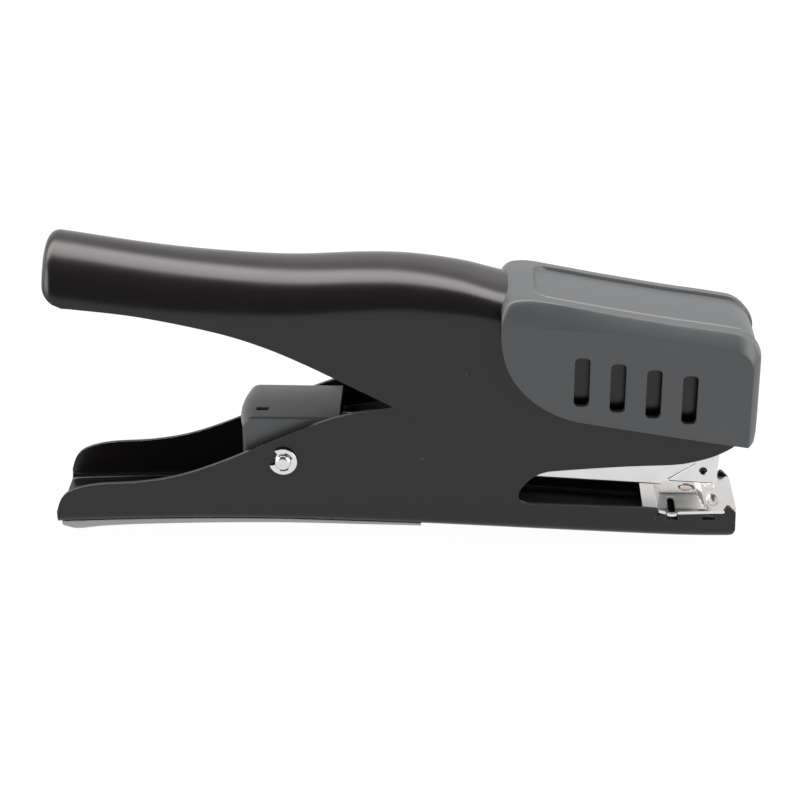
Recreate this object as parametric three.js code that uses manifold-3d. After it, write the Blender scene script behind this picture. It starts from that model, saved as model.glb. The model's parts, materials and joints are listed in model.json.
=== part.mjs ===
// A hand-held plier stapler, in millimetres. +X is the jaw end, +Z is up, and the object stands
// on its base grip and the front of its frame at Z = 0. Near is -Y and far is +Y.
import * as THREE from 'three';
import { mergeVertices } from 'three/addons/utils/BufferGeometryUtils.js';
import Module from 'manifold-3d';

const wasm = await Module();
wasm.setup();

// ---- driving dimensions ----
const CLEARANCE = 0.3;              // between pieces that touch in use
const FRAME_SHEET = 1.0;
const FRAME_HALF_WIDTH = 13.0;      // outside, from the rear end to TAPER_START
const TAPER_START = -13;
const TAPER_END = 87;
const FRAME_FRONT_HALF_WIDTH = 10.75;
const FRAME_BEND = 2.5;             // outer radius along the two lower edges
const HANDLE_SHEET = 1.1;
const HANDLE_REAR = -90;
const HANDLE_FRONT = 84.6;
const COVER_REAR = 25;
const COVER_FRONT = 90;
const COVER_HALF_WIDTH = 16.2;
const COVER_WALL = 1.6;

const REAR_PIVOT = { x: -30.3, z: 22 };     // driver lever and magazine
const FULCRUM = { x: 79.5, z: 45 };         // handle
const ROLLER = { x: 41, z: 41, radius: 3.5, halfLength: 8.5, pinRadius: 1.5 };
const FULCRUM_RADIUS = 2.5;
const STUD_RADIUS = 2.1;
const MAGAZINE_TILT = THREE.MathUtils.degToRad(2.9);

// Along the magazine, in its own tilted frame: x forward from the rear pivot, z up from it
const MAGAZINE = { rear: -4.5, floorEnd: 97.9, front: 110.4, bottom: -3.3, noseBottom: -1.4, top: 5.2 };
const MAGAZINE_HALF_WIDTH = 7.9;
const MAGAZINE_SHEET = 0.8;
const GUIDE = { rear: 99.4, front: 112.1, sideTop: 12, frontTop: 9, halfWidth: 8.8, sheet: 0.6 };
const RAIL = { rear: -7.5, front: 109, bottom: -2.1, top: 3.0, halfWidth: 5.6, sheet: 0.8 };
const SLOT_HALF_WIDTH = 1.2;        // along the top of the rail, for the pusher's stem
const BLADE = { rear: 109.9, front: 110.5, tip: 4.0, top: 19, halfWidth: 6.2 };
const PUSHER = { rear: 98.5, front: 108, top: 4.1, halfWidth: 6.6 };
const ROD_RADIUS = 0.8;

const CAP = { rear: -41, front: -15, top: 33, halfWidth: 10.4, wall: 1.3, skirt: 26.2, foot: 13.5 };
const ANVIL = { rear: 61.8, front: 87, top: 8.0, sheet: 0.8, plateau: 9.3 };
const RECESS = { rear: 66.4, front: 84.0, floor: 6.9 };   // in the frame's walls, under the anvil's rims
const SEAT = { x: 20, z: 41.5 };            // of the return spring

// ---- helpers ----
const group = new THREE.Group();
const tilted = new THREE.Group();           // what lies along the magazine
tilted.position.set(REAR_PIVOT.x, 0, REAR_PIVOT.z);
tilted.rotation.y = MAGAZINE_TILT;
group.add(tilted);

function add(name, geometry, material, parent = group) {
  const mesh = new THREE.Mesh(geometry, material.clone());
  mesh.name = name;
  parent.add(mesh);
  return mesh;
}

function toSolid(geometry) {
  const bare = geometry.clone();
  bare.deleteAttribute('normal');
  bare.deleteAttribute('uv');
  const merged = mergeVertices(bare, 1e-4);
  const triVerts = new Uint32Array(merged.index.array);
  const vertProperties = new Float32Array(merged.attributes.position.array);
  return new wasm.Manifold(new wasm.Mesh({ numProp: 3, vertProperties, triVerts }));
}

function toGeometry(solid) {
  const mesh = solid.getMesh();
  const geometry = new THREE.BufferGeometry();
  geometry.setAttribute('position', new THREE.BufferAttribute(mesh.vertProperties, 3));
  geometry.setIndex(new THREE.BufferAttribute(mesh.triVerts, 1));
  return geometry;
}

const subtractAll = (solid, cuts) => cuts.reduce((left, cut) => left.subtract(cut), solid);
const joinAll = (solids) => solids.reduce((joined, next) => joined.add(next));

// a side outline, x and z, made solid between two y values
function sideSolid(shape, yFrom, yTo, curveSegments = 6) {
  const settings = { depth: yTo - yFrom, bevelEnabled: false, curveSegments };
  const geometry = new THREE.ExtrudeGeometry(shape, settings);
  geometry.rotateX(Math.PI / 2);
  geometry.translate(0, yTo, 0);
  return toSolid(geometry);
}

function box(xFrom, xTo, yFrom, yTo, zFrom, zTo) {
  const geometry = new THREE.BoxGeometry(xTo - xFrom, yTo - yFrom, zTo - zFrom);
  geometry.translate((xFrom + xTo) / 2, (yFrom + yTo) / 2, (zFrom + zTo) / 2);
  return toSolid(geometry);
}

const widthBox = (xFrom, xTo, halfWidth, zFrom, zTo) => box(xFrom, xTo, -halfWidth, halfWidth, zFrom, zTo);

// a round piece along Y: profile points are [radius, y], from the axis back to the axis
function turned(profile, x = 0, z = 0, segments = 24) {
  const points = profile.map(([radius, y]) => new THREE.Vector2(radius, y));
  const geometry = new THREE.LatheGeometry(points, segments);
  geometry.translate(x, 0, z);
  return geometry;
}

const cylinder = (radius, yFrom, yTo, x, z, segments = 24) =>
  toSolid(turned([[0, yFrom], [radius, yFrom], [radius, yTo], [0, yTo]], x, z, segments));

// closed rings of y and z, one at each x, joined into one solid
function loft(sections) {
  const count = sections[0].ring.length;
  const positions = sections.flatMap(({ x, ring }) => ring.flatMap(([y, z]) => [x, y, z]));
  const indices = [];
  for (let row = 0; row < sections.length - 1; row += 1) {
    for (let j = 0; j < count; j += 1) {
      const a = row * count + j;
      const b = row * count + ((j + 1) % count);
      indices.push(a, b, b + count, a, b + count, a + count);
    }
  }
  const flatRing = (ring) => ring.map(([y, z]) => new THREE.Vector2(y, z));
  const capOf = ({ ring }) => THREE.ShapeUtils.triangulateShape(flatRing(ring), []);
  const last = (sections.length - 1) * count;
  capOf(sections[0]).forEach(([a, b, c]) => indices.push(a, c, b));
  capOf(sections.at(-1)).forEach(([a, b, c]) => indices.push(last + a, last + b, last + c));
  const geometry = new THREE.BufferGeometry();
  geometry.setAttribute('position', new THREE.Float32BufferAttribute(positions, 3));
  geometry.setIndex(indices);
  return toSolid(geometry);
}

// a smooth height along x, through a few points
function heightAlong(points) {
  const steps = 40;
  const curve = new THREE.SplineCurve(points.map(([x, z]) => new THREE.Vector2(x, z)));
  const samples = curve.getPoints(steps * points.length);
  return (x) => {
    const next = samples.findIndex((sample) => sample.x >= x);
    if (next < 0) return samples.at(-1).y;
    if (next === 0) return samples[0].y;
    const [from, to] = [samples[next - 1], samples[next]];
    return THREE.MathUtils.mapLinear(x, from.x, to.x, from.y, to.y);
  };
}

const spaced = (from, to, count) =>
  Array.from({ length: count + 1 }, (_, i) => from + ((to - from) * i) / count);
const spline = (path, points) => path.splineThru(points.map(([x, z]) => new THREE.Vector2(x, z)));
const lines = (path, points) => points.forEach(([x, z]) => path.lineTo(x, z));

function shapeOf(points) {
  return new THREE.Shape(points.map(([x, z]) => new THREE.Vector2(x, z)));
}

function roundedRectangle(xFrom, xTo, zFrom, zTo, radius) {
  const shape = new THREE.Shape();
  shape.absarc(xTo - radius, zFrom + radius, radius, -Math.PI / 2, 0);
  shape.absarc(xTo - radius, zTo - radius, radius, 0, Math.PI / 2);
  shape.absarc(xFrom + radius, zTo - radius, radius, Math.PI / 2, Math.PI);
  shape.absarc(xFrom + radius, zFrom + radius, radius, Math.PI, 1.5 * Math.PI);
  return shape;
}

// outside half width of the frame at x; the handle and the driver lever follow the same taper
function frameHalfWidth(x) {
  const share = THREE.MathUtils.clamp((x - TAPER_START) / (TAPER_END - TAPER_START), 0, 1);
  return THREE.MathUtils.lerp(FRAME_HALF_WIDTH, FRAME_FRONT_HALF_WIDTH, share);
}

// ---- materials ----
const metal = (color, roughness, metalness = 1) =>
  new THREE.MeshStandardMaterial({ color, roughness, metalness });
const blackPaint = metal(0x1b1a1b, 0.45, 0.2);
const nickel = metal(0xc9c8c4, 0.28);
const zincedSteel = metal(0xb7b5b0, 0.35);
const springSteel = metal(0x8d8d8f, 0.35);
const greyPlastic = metal(0x4d5154, 0.55, 0);
const palePlastic = metal(0x8c8c8a, 0.6, 0);
const copperedRivet = metal(0xc8b3a4, 0.4);

// ---- frame ----
const frameBottom = heightAlong([[-92, 2.4], [-60, 3.8], [-30, 4.2], [2, 3.4], [37, 1.7], [60, 0.6],
  [76, 0], [90, 0]]);

// a section with two round lower corners
function troughRing(halfWidth, bottom, top, radius) {
  const ring = [[halfWidth, top], [-halfWidth, top]];
  const corner = (side, from, to) => spaced(from, to, 3).forEach((angle) => ring.push([
    side * (halfWidth - radius) + radius * Math.cos(angle),
    bottom + radius + radius * Math.sin(angle),
  ]));
  corner(-1, Math.PI, 1.5 * Math.PI);
  corner(1, 1.5 * Math.PI, 2 * Math.PI);
  return ring;
}

function trough(xs, grow, top) {
  return loft(xs.map((x) => ({
    x,
    ring: troughRing(frameHalfWidth(x) + grow, frameBottom(x) - grow, top, FRAME_BEND + grow),
  })));
}

function frameOutline() {
  const outline = new THREE.Shape();
  outline.moveTo(-89.8, -3);
  outline.lineTo(-89.8, 6.2);
  spline(outline, [[-88.4, 9.9], [-85.5, 12.4], [-78.9, 14.2], [-66.9, 15.2], [-56.4, 17.4], [-44.5, 22],
    [-32, 28], [-16.4, 34.4], [-1.5, 37.5], [14, 40]]);
  lines(outline, [[37.6, 43.5], [37.6, 32], [45.4, 32], [45.4, 45]]);
  outline.absarc(FULCRUM.x, FULCRUM.z, 6, 2, 0.2, true);
  lines(outline, [[85.8, 38], [85.8, 27.6]]);
  spline(outline, [[84.6, 26.2], [80.4, 23.9], [75.7, 22.4], [70.2, 21.4], [57.3, 20.8], [41.5, 19.6],
    [36.7, 18.9], [33.4, 17.1], [31.2, 14.6], [30.3, 12.4], [30.9, 10.7], [32.6, 9.8]]);
  lines(outline, [[62, 8.9], [RECESS.rear, 8.5], [RECESS.rear, RECESS.floor], [RECESS.front, RECESS.floor],
    [RECESS.front, 8.6], [84.5, 9.3], [85.2, 9.2], [86.8, 7.6], [87, 2.6], [86.3, 0.9], [84.6, 0.05],
    [84.6, -3]]);
  return outline;
}

const stations = [-90, ...spaced(-60, 60, 8), 76, 90];
const frameHoles = [
  cylinder(STUD_RADIUS + CLEARANCE, -20, 20, REAR_PIVOT.x, REAR_PIVOT.z),
  cylinder(FULCRUM_RADIUS + 0.2, -20, 20, FULCRUM.x, FULCRUM.z),
  widthBox(68.6, 71.8, 20, 5.4, 6.7),       // for the anvil bridge's tabs
  widthBox(78.1, 81.5, 20, 5.4, 6.7),
];
const frameSolid = subtractAll(
  trough(stations, 0, 60)
    .subtract(trough([-95, ...stations, 95], -FRAME_SHEET, 70))
    .intersect(sideSolid(frameOutline(), -20, 20)),
  frameHoles,
);
add('frame', toGeometry(frameSolid), blackPaint);

// ---- base grip under the rear of the frame ----
const gripBottom = heightAlong([[-89, 1.6], [-87, 0.5], [-85.6, 0], [-83.8, 0], [-82, 0.3], [-78, 1],
  [-68, 1.8], [-50, 2.6], [-31, 3.1], [-12, 3], [6, 2.7]]);
const gripXs = [-88.8, -87, -85.6, -83.8, -82, -78, -73, -66, -56, -44, -30, -14, 0, 5.2];
const GRIP_HALF_WIDTH = 13.9;
const GRIP_LIP = 1.5;                       // up the frame's walls
const gripBlock = loft(gripXs.map((x) => ({
  x,
  ring: troughRing(GRIP_HALF_WIDTH, gripBottom(x), frameBottom(x) + GRIP_LIP, 1.6),
})));
add('base_grip', toGeometry(gripBlock.subtract(trough([-95, ...stations], CLEARANCE, 60))), palePlastic);

// ---- anvil on the lower jaw ----
function frustum(base, top) {
  const ringAt = ([xFrom, xTo, halfWidth]) =>
    [[xFrom, -halfWidth], [xTo, -halfWidth], [xTo, halfWidth], [xFrom, halfWidth]];
  const positions = [base, top].flatMap((level) => ringAt(level).flatMap(([x, y]) => [x, y, level[3]]));
  const geometry = new THREE.BufferGeometry();
  geometry.setAttribute('position', new THREE.Float32BufferAttribute(positions, 3));
  const indices = [0, 2, 1, 0, 3, 2, 4, 5, 6, 4, 6, 7];
  for (let j = 0; j < 4; j += 1) {
    const k = (j + 1) % 4;
    indices.push(j, k, k + 4, j, k + 4, j + 4);
  }
  geometry.setIndex(indices);
  return toSolid(geometry);
}

const anvilBottom = ANVIL.top - ANVIL.sheet;
const EAR = { x: 70.2, y: 10.4, radius: 2.5, slotHalfWidth: 0.9 };
const RIVET = { x: 74.8, radius: 1.9 };
const GROOVE = { x: 80.2, y: 4.2, halfLength: 3.2 };
function anvilSolid() {
  const upright = (radius, x, y, zFrom, zTo) => {
    const geometry = new THREE.CylinderGeometry(radius, radius, zTo - zFrom, 20);
    geometry.rotateX(Math.PI / 2);
    geometry.translate(x, y, (zFrom + zTo) / 2);
    return toSolid(geometry);
  };
  const body = [
    widthBox(ANVIL.rear, ANVIL.front, 9.3, anvilBottom, ANVIL.top),
    widthBox(RECESS.rear + CLEARANCE, RECESS.front - CLEARANCE, 10.6, anvilBottom, ANVIL.top),
    frustum([65.2, 79.4, 9.2, ANVIL.top], [66.6, 77.1, 3.2, ANVIL.plateau]),
  ];
  const cuts = [upright(RIVET.radius + 0.25, RIVET.x, 0, 0, 20)];
  for (const side of [-1, 1]) {
    body.push(upright(EAR.radius, EAR.x, side * EAR.y, anvilBottom, ANVIL.top));
    const slot = joinAll([
      upright(EAR.slotHalfWidth, EAR.x, side * 5.6, 0, 20),
      upright(EAR.slotHalfWidth, EAR.x, side * 11.2, 0, 20),
      box(EAR.x - EAR.slotHalfWidth, EAR.x + EAR.slotHalfWidth, Math.min(side * 5.6, side * 11.2),
        Math.max(side * 5.6, side * 11.2), 0, 20),
    ]);
    const hollow = new THREE.SphereGeometry(1, 16, 10);
    hollow.scale(1.1, GROOVE.halfLength, 0.55);
    hollow.translate(GROOVE.x, side * GROOVE.y, ANVIL.top + 0.02);
    cuts.push(slot, toSolid(hollow));
  }
  return subtractAll(joinAll(body), cuts);
}
add('anvil_plate', toGeometry(anvilSolid()), nickel);

const BRIDGE = { bottom: 5.6, top: 6.5 };
const bridgeSolid = joinAll([
  widthBox(67.5, 82.5, 9.3, BRIDGE.bottom, BRIDGE.top),
  widthBox(69, 71.4, 10.8, BRIDGE.bottom, BRIDGE.top),
  widthBox(78.5, 81.1, 10.8, BRIDGE.bottom, BRIDGE.top),
]);
const rivetHole = new THREE.CylinderGeometry(1.5, 1.5, 4, 20);
rivetHole.rotateX(Math.PI / 2);
rivetHole.translate(RIVET.x, 0, 6);
add('anvil_bridge', toGeometry(bridgeSolid.subtract(toSolid(rivetHole))), zincedSteel);

const rivetProfile = [[0, 4.7], [2.4, 4.7], [2.4, 5.3], [1.2, 5.3], [1.2, 7.9], [RIVET.radius, 7.9],
  [RIVET.radius, 9.4], [1.4, 9.6], [0, 9.65]];
const rivetGeometry = turned(rivetProfile);
rivetGeometry.rotateX(Math.PI / 2);
rivetGeometry.translate(RIVET.x, 0, 0);
add('anvil_rivet', rivetGeometry, copperedRivet);

// ---- rear pivot studs and their clips, one on each side ----
const STUD = { tip: 7.0, shoulder: 8.2, journal: 10.5, groove: 13.2, grooveEnd: 14.0, end: 15.0 };
const CLIP = { outer: 3.65, inner: 1.75, relief: 2.5, thickness: 0.6, mouth: 0.62 };

// a snap ring with three prongs and an open mouth
function clipShape(mouthAngle) {
  const shape = new THREE.Shape();
  const from = mouthAngle + CLIP.mouth;
  const to = mouthAngle + 2 * Math.PI - CLIP.mouth;
  shape.absarc(0, 0, CLIP.outer, from, to, false);
  const prongs = 3;
  const span = (to - from) / (2 * prongs - 1);
  for (let i = 0; i < 2 * prongs - 1; i += 1) {
    const radius = i % 2 ? CLIP.relief : CLIP.inner;
    shape.absarc(0, 0, radius, to - i * span, to - (i + 1) * span, true);
  }
  return shape;
}

function clipSolid(x, z, yMiddle, mouthAngle) {
  const half = CLIP.thickness / 2;
  const ring = sideSolid(clipShape(mouthAngle), yMiddle - half, yMiddle + half, 5);
  return ring.translate([x, 0, z]);
}

for (const [name, side] of [['near', -1], ['far', 1]]) {
  const profile = [[0, STUD.tip], [1.6, STUD.tip], [1.6, STUD.shoulder], [3, STUD.shoulder],
    [3, STUD.journal], [STUD_RADIUS, STUD.journal], [STUD_RADIUS, STUD.groove], [1.5, STUD.groove], [1.5, STUD.grooveEnd],
    [STUD_RADIUS, STUD.grooveEnd], [STUD_RADIUS, STUD.end - 0.4], [1.5, STUD.end], [0, STUD.end]];
  const geometry = turned(profile);
  if (side < 0) geometry.rotateX(Math.PI);
  geometry.translate(REAR_PIVOT.x, 0, REAR_PIVOT.z);
  add(`rear_stud_${name}`, geometry, nickel);
  const clip = clipSolid(REAR_PIVOT.x, REAR_PIVOT.z, side * (STUD.groove + STUD.grooveEnd) / 2, 2.6);
  add(`rear_clip_${name}`, toGeometry(clip), nickel);
}

// ---- handle: one sheet, arched over the top and open below ----
const HANDLE_GAP = 0.35;                    // to the frame's walls
const handleTop = heightAlong([[-90, 79], [-86, 78.7], [-65, 75.5], [-46.7, 73.5], [-28.4, 72.5], [-10, 73.1],
  [2, 72.8], [14.5, 70.9], [24, 68.3], [34, 65.9], [53, 62.2], [67, 59.7], [90, 55.6]]);
const archHeight = heightAlong([[-90, 14.5], [-70, 14.3], [-30, 12.5], [10, 11], [30, 8.5], [60, 6.5],
  [90, 6]]);
const archPower = heightAlong([[-90, 1], [-60, 0.96], [0, 0.82], [30, 0.7], [90, 0.7]]);

function archRing(halfWidth, top, spring, bottom, power, steps = 18) {
  const ring = [[-halfWidth, bottom], [halfWidth, bottom]];
  for (const angle of spaced(0, Math.PI, steps)) {
    const along = Math.cos(angle);
    const y = halfWidth * Math.sign(along) * Math.abs(along) ** power;
    ring.push([y, spring + (top - spring) * Math.abs(Math.sin(angle)) ** power]);
  }
  return ring;
}

// the rear end is a small round nose
function handleNarrowing(x) {
  const radius = 3;
  const depth = Math.max(0, radius - (x - HANDLE_REAR));
  return radius - Math.sqrt(Math.max(0, radius ** 2 - depth ** 2));
}

function handleRing(x, inset, bottom = 20) {
  const narrowing = handleNarrowing(x);
  const halfWidth = frameHalfWidth(x) + HANDLE_GAP + HANDLE_SHEET - inset - narrowing;
  const top = handleTop(x) - inset - narrowing;
  return archRing(halfWidth, top, handleTop(x) - archHeight(x), bottom, archPower(x));
}

function handleOutline() {
  const outline = new THREE.Shape();
  outline.moveTo(-92, 90);
  outline.lineTo(-92, 69);
  spline(outline, [[-89.9, 68.6], [-88.4, 66.3], [-85.6, 64.3], [-82, 63.9], [-66, 62.1], [-48.2, 58.5],
    [-36.3, 54.9], [-24.3, 49.7], [-6.3, 40.4], [5, 34.2], [11, 31.2], [16.6, 29.5], [22, 28.8], [32, 28.6]]);
  lines(outline, [[84, 27.8], [87, 30], [90, 90]]);
  return outline;
}

const noseXs = [-90, -89.6, -88.9, -88, -87];
const handleXs = [...noseXs, ...spaced(-81, 20, 11), 26, 32, 40, 52, 66, 78, HANDLE_FRONT];
const handleOuter = loft(handleXs.map((x) => ({ x, ring: handleRing(x, 0) })));
const innerNoseXs = noseXs.slice(1).map((x) => x + HANDLE_SHEET - 0.4);
const innerXs = [...innerNoseXs, ...handleXs.slice(noseXs.length, -1), 90];
const handleInner = loft(innerXs.map((x) => ({ x, ring: handleRing(x, HANDLE_SHEET, 10) })));
const handleSheet = handleOuter.subtract(handleInner).intersect(sideSolid(handleOutline(), -20, 20));
const handleSolid = subtractAll(handleSheet, [
  cylinder(FULCRUM_RADIUS + 0.2, -20, 20, FULCRUM.x, FULCRUM.z),
  cylinder(ROLLER.pinRadius + 0.2, -20, 20, ROLLER.x, ROLLER.z),
]);
add('handle_shell', toGeometry(handleSolid), blackPaint);

// ---- head cover ----
const coverTop = heightAlong([[20, 69.9], [29, 68.3], [43, 65.7], [53, 63.9], [67, 61.6], [77, 60.2],
  [84, 59.1], [92, 57.9]]);
const shoulderDrop = heightAlong([[20, 9], [29, 8], [43, 5.6], [53, 4.2], [62, 3.5], [92, 3.5]]);
const COVER_CROWN = 0.7;
const COVER_NOSE = 7;                       // radius of the roll from the top into the front face
const SHOULDER_WIDTH = 2.8;

function coverRing(x, inset, bottom = 20) {
  const depth = Math.max(0, COVER_NOSE - (COVER_FRONT - x));
  const roll = COVER_NOSE - Math.sqrt(Math.max(0, COVER_NOSE ** 2 - depth ** 2));
  const halfWidth = COVER_HALF_WIDTH - inset;
  const edge = coverTop(x) - inset - roll;
  const drop = shoulderDrop(x);
  const ring = [[-halfWidth, bottom], [halfWidth, bottom]];
  const corner = spaced(0, Math.PI / 2, 5).map((angle) => [
    halfWidth - SHOULDER_WIDTH * (1 - Math.cos(angle)),
    edge - drop + drop * Math.sin(angle),
  ]);
  const middle = spaced(0.75, -0.75, 6).map((share) => [
    share * (halfWidth - SHOULDER_WIDTH),
    edge + COVER_CROWN * (1 - share ** 2),
  ]);
  ring.push(...corner, ...middle, ...corner.map(([y, z]) => [-y, z]).reverse());
  return ring;
}

function coverOutline() {
  const outline = new THREE.Shape();
  outline.moveTo(COVER_REAR, 80);
  outline.lineTo(COVER_REAR, 58);
  spline(outline, [[25.6, 53.8], [27, 49.2], [29.6, 44.9], [33.4, 41], [37.9, 38], [43.2, 35.9], [48, 35]]);
  lines(outline, [[58.8, 33.3], [78.2, 30.3], [88.2, 28.9], [89.4, 29.5], [95, 31], [95, 80]]);
  return outline;
}

const SLOT = { first: 43.9, pitch: 9.05, width: 3.5, height: 13, top: 53, drop: 1.5, count: 4 };
const coverNoseXs = [84, 86, 87.6, 88.8, 89.6, COVER_FRONT];
const coverXs = [20, 29, 36, 43, 53, 62, 72, 80];
const coverOuter = loft([...coverXs, ...coverNoseXs].map((x) => ({ x, ring: coverRing(x, 0) })));
const coverInner = loft([...coverXs, ...coverNoseXs].map((x) => {
  const share = Math.max(0, (x - 80) / (COVER_FRONT - 80));
  return { x: x - COVER_WALL * share, ring: coverRing(x, COVER_WALL, 10) };
}));
const coverCuts = Array.from({ length: SLOT.count }, (_, i) => {
  const rear = SLOT.first + i * SLOT.pitch;
  const top = SLOT.top - i * SLOT.drop;
  return sideSolid(roundedRectangle(rear, rear + SLOT.width, top - SLOT.height, top, 1), -30, 30, 3);
});
const coverShell = coverOuter.subtract(coverInner).intersect(sideSolid(coverOutline(), -30, 30));
add('head_cover', toGeometry(subtractAll(coverShell, coverCuts)), greyPlastic);

// ---- fulcrum pin, held by a head on the far side and a clip on the near side ----
const pinReach = frameHalfWidth(FULCRUM.x) + HANDLE_GAP + HANDLE_SHEET + CLEARANCE;
const fulcrumProfile = [[0, -pinReach - 1.4], [FULCRUM_RADIUS, -pinReach - 1.4],
  [FULCRUM_RADIUS, -pinReach - 0.8], [1.5, -pinReach - 0.8], [1.5, -pinReach],
  [FULCRUM_RADIUS, -pinReach], [FULCRUM_RADIUS, pinReach],
  [4, pinReach], [4, pinReach + 1], [0, pinReach + 1]];
add('fulcrum_pin', turned(fulcrumProfile, FULCRUM.x, FULCRUM.z), zincedSteel);
add('fulcrum_clip', toGeometry(clipSolid(FULCRUM.x, FULCRUM.z, -pinReach - 0.4, 2.6)), springSteel);

// ---- roller and its pin, carried by the handle ----
const rollerReach = frameHalfWidth(ROLLER.x) + HANDLE_GAP + HANDLE_SHEET + 0.1;
const rollerPin = cylinder(ROLLER.pinRadius, -rollerReach, rollerReach, ROLLER.x, ROLLER.z);
add('roller_pin', toGeometry(rollerPin), zincedSteel);
const rollerTube = cylinder(ROLLER.radius, -ROLLER.halfLength, ROLLER.halfLength, ROLLER.x, ROLLER.z)
  .subtract(cylinder(ROLLER.pinRadius + 0.25, -20, 20, ROLLER.x, ROLLER.z));
add('push_roller', toGeometry(rollerTube), zincedSteel);

// ---- driver lever: two arms from the rear studs, joined by a web over the magazine ----
const LEVER_SHEET = 0.9;
const LEVER_WEB_REAR = 8;
const leverTop = heightAlong([[-40, 22], [-20, 25.6], [0, 29.5], [20, 34], [36, 37.1], [50, 37.5], [64, 38.3],
  [90, 38.3]]);

function leverRing(x, inset, top, bottom) {
  const halfWidth = frameHalfWidth(x) - FRAME_SHEET - CLEARANCE - inset;
  return [[-halfWidth, bottom], [halfWidth, bottom], [halfWidth, top], [-halfWidth, top]];
}

function leverOutline() {
  const outline = new THREE.Shape();
  outline.absarc(REAR_PIVOT.x, REAR_PIVOT.z, 3.4, 1.75, 4.9, false);
  lines(outline, [[-10, 20.5], [20, 27.5], [44, 31], [60, 34.2], [84, 35], [84, 50], [-28, 50]]);
  return outline;
}

const leverXs = [-36, -20, ...spaced(-10, 36, 4), 50, 64, 86];
const leverInnerXs = [-40, LEVER_WEB_REAR, LEVER_WEB_REAR + 0.01, ...spaced(14, 36, 3), 50, 64, 90];
const leverOuter = loft(leverXs.map((x) => ({ x, ring: leverRing(x, 0, leverTop(x), 10) })));
const leverInner = loft(leverInnerXs.map((x) => {
  const top = x <= LEVER_WEB_REAR ? 60 : leverTop(x) - LEVER_SHEET;
  return { x, ring: leverRing(x, LEVER_SHEET, top, 0) };
}));
const tongueGeometry = new THREE.BoxGeometry(1, 12, 11);
tongueGeometry.translate(109.1, 0, 16);
tongueGeometry.rotateY(MAGAZINE_TILT);
tongueGeometry.translate(REAR_PIVOT.x, 0, REAR_PIVOT.z);
const bladeRivetAt = { x: 110, z: 17, radius: 1 };
const tongueHole = new THREE.CylinderGeometry(bladeRivetAt.radius + 0.25, bladeRivetAt.radius + 0.25, 6, 16);
tongueHole.rotateZ(Math.PI / 2);
tongueHole.translate(bladeRivetAt.x, 0, bladeRivetAt.z);
const placedHole = tongueHole.clone().rotateY(MAGAZINE_TILT).translate(REAR_PIVOT.x, 0, REAR_PIVOT.z);
const leverSolid = leverOuter.subtract(leverInner).intersect(sideSolid(leverOutline(), -20, 20))
  .subtract(cylinder(STUD_RADIUS + 0.15, -20, 20, REAR_PIVOT.x, REAR_PIVOT.z))
  .add(toSolid(tongueGeometry))
  .subtract(toSolid(placedHole));
add('driver_lever', toGeometry(leverSolid), zincedSteel);

const bladeBar = widthBox(BLADE.rear, BLADE.front, BLADE.halfWidth, BLADE.tip, BLADE.top);
const bladeSolid = bladeBar.subtract(toSolid(tongueHole));
add('driver_blade', toGeometry(bladeSolid), springSteel, tilted);

const bladeRivet = turned([[0, -2.1], [1.6, -2.1], [1.6, -1.7], [bladeRivetAt.radius, -1.7],
  [bladeRivetAt.radius, 0.8], [1.6, 0.8], [1.6, 1.2], [0, 1.2]], 0, 0, 16);
bladeRivet.rotateZ(-Math.PI / 2);
bladeRivet.translate(bladeRivetAt.x, 0, bladeRivetAt.z);
add('blade_rivet', bladeRivet, zincedSteel, tilted);

// ---- magazine: a channel hung on the rear studs ----
function magazineSolid() {
  const { rear, floorEnd, front, bottom, noseBottom, top } = MAGAZINE;
  const outline = shapeOf([[rear, bottom], [floorEnd, bottom], [floorEnd + 1.2, noseBottom],
    [front, noseBottom], [front, top], [rear, top]]);
  const insideHalfWidth = MAGAZINE_HALF_WIDTH - MAGAZINE_SHEET;
  const inside = widthBox(rear - 1, front + 1, insideHalfWidth, bottom + MAGAZINE_SHEET, top + 1);
  return subtractAll(sideSolid(outline, -MAGAZINE_HALF_WIDTH, MAGAZINE_HALF_WIDTH), [
    inside,
    cylinder(1.6 + 0.15, -20, 20, 0, 0),
  ]);
}
add('magazine', toGeometry(magazineSolid()), nickel, tilted);

// ---- front guide: wraps the magazine's nose ----
function guideSolid() {
  const { rear, front, sideTop, frontTop, halfWidth, sheet } = GUIDE;
  const outline = shapeOf([[rear, MAGAZINE.noseBottom], [front, MAGAZINE.noseBottom], [front, sideTop],
    [front - 6, sideTop], [front - 6, 3.3]]);
  return subtractAll(sideSolid(outline, -halfWidth, halfWidth), [
    widthBox(rear - 1, front - sheet, halfWidth - sheet, MAGAZINE.noseBottom - 1, sideTop + 1),
    widthBox(front - 2, front + 1, halfWidth - sheet, frontTop, sideTop + 1),
    cylinder(1, -20, 20, 108.3, 1.85, 16),
  ]);
}
add('front_guide', toGeometry(guideSolid()), nickel, tilted);

// ---- staple tray: rail, spring rod and end cap, which slide out of the rear ----
function railSolid() {
  const { rear, front, bottom, top, halfWidth, sheet } = RAIL;
  return subtractAll(widthBox(rear, front, halfWidth, bottom, top), [
    widthBox(rear - 1, front - sheet, halfWidth - sheet, bottom - 1, top - sheet),
    widthBox(0, front - 3, SLOT_HALF_WIDTH, top - 2, top + 1),
  ]);
}
add('tray_rail', toGeometry(railSolid()), zincedSteel, tilted);

function alongX(radius, from, to, z, segments = 12) {
  const geometry = new THREE.CylinderGeometry(radius, radius, to - from, segments);
  geometry.rotateZ(Math.PI / 2);
  geometry.translate((from + to) / 2, 0, z);
  return geometry;
}
add('spring_rod', alongX(ROD_RADIUS, RAIL.rear, RAIL.front - RAIL.sheet - CLEARANCE, 0), zincedSteel, tilted);

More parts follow.
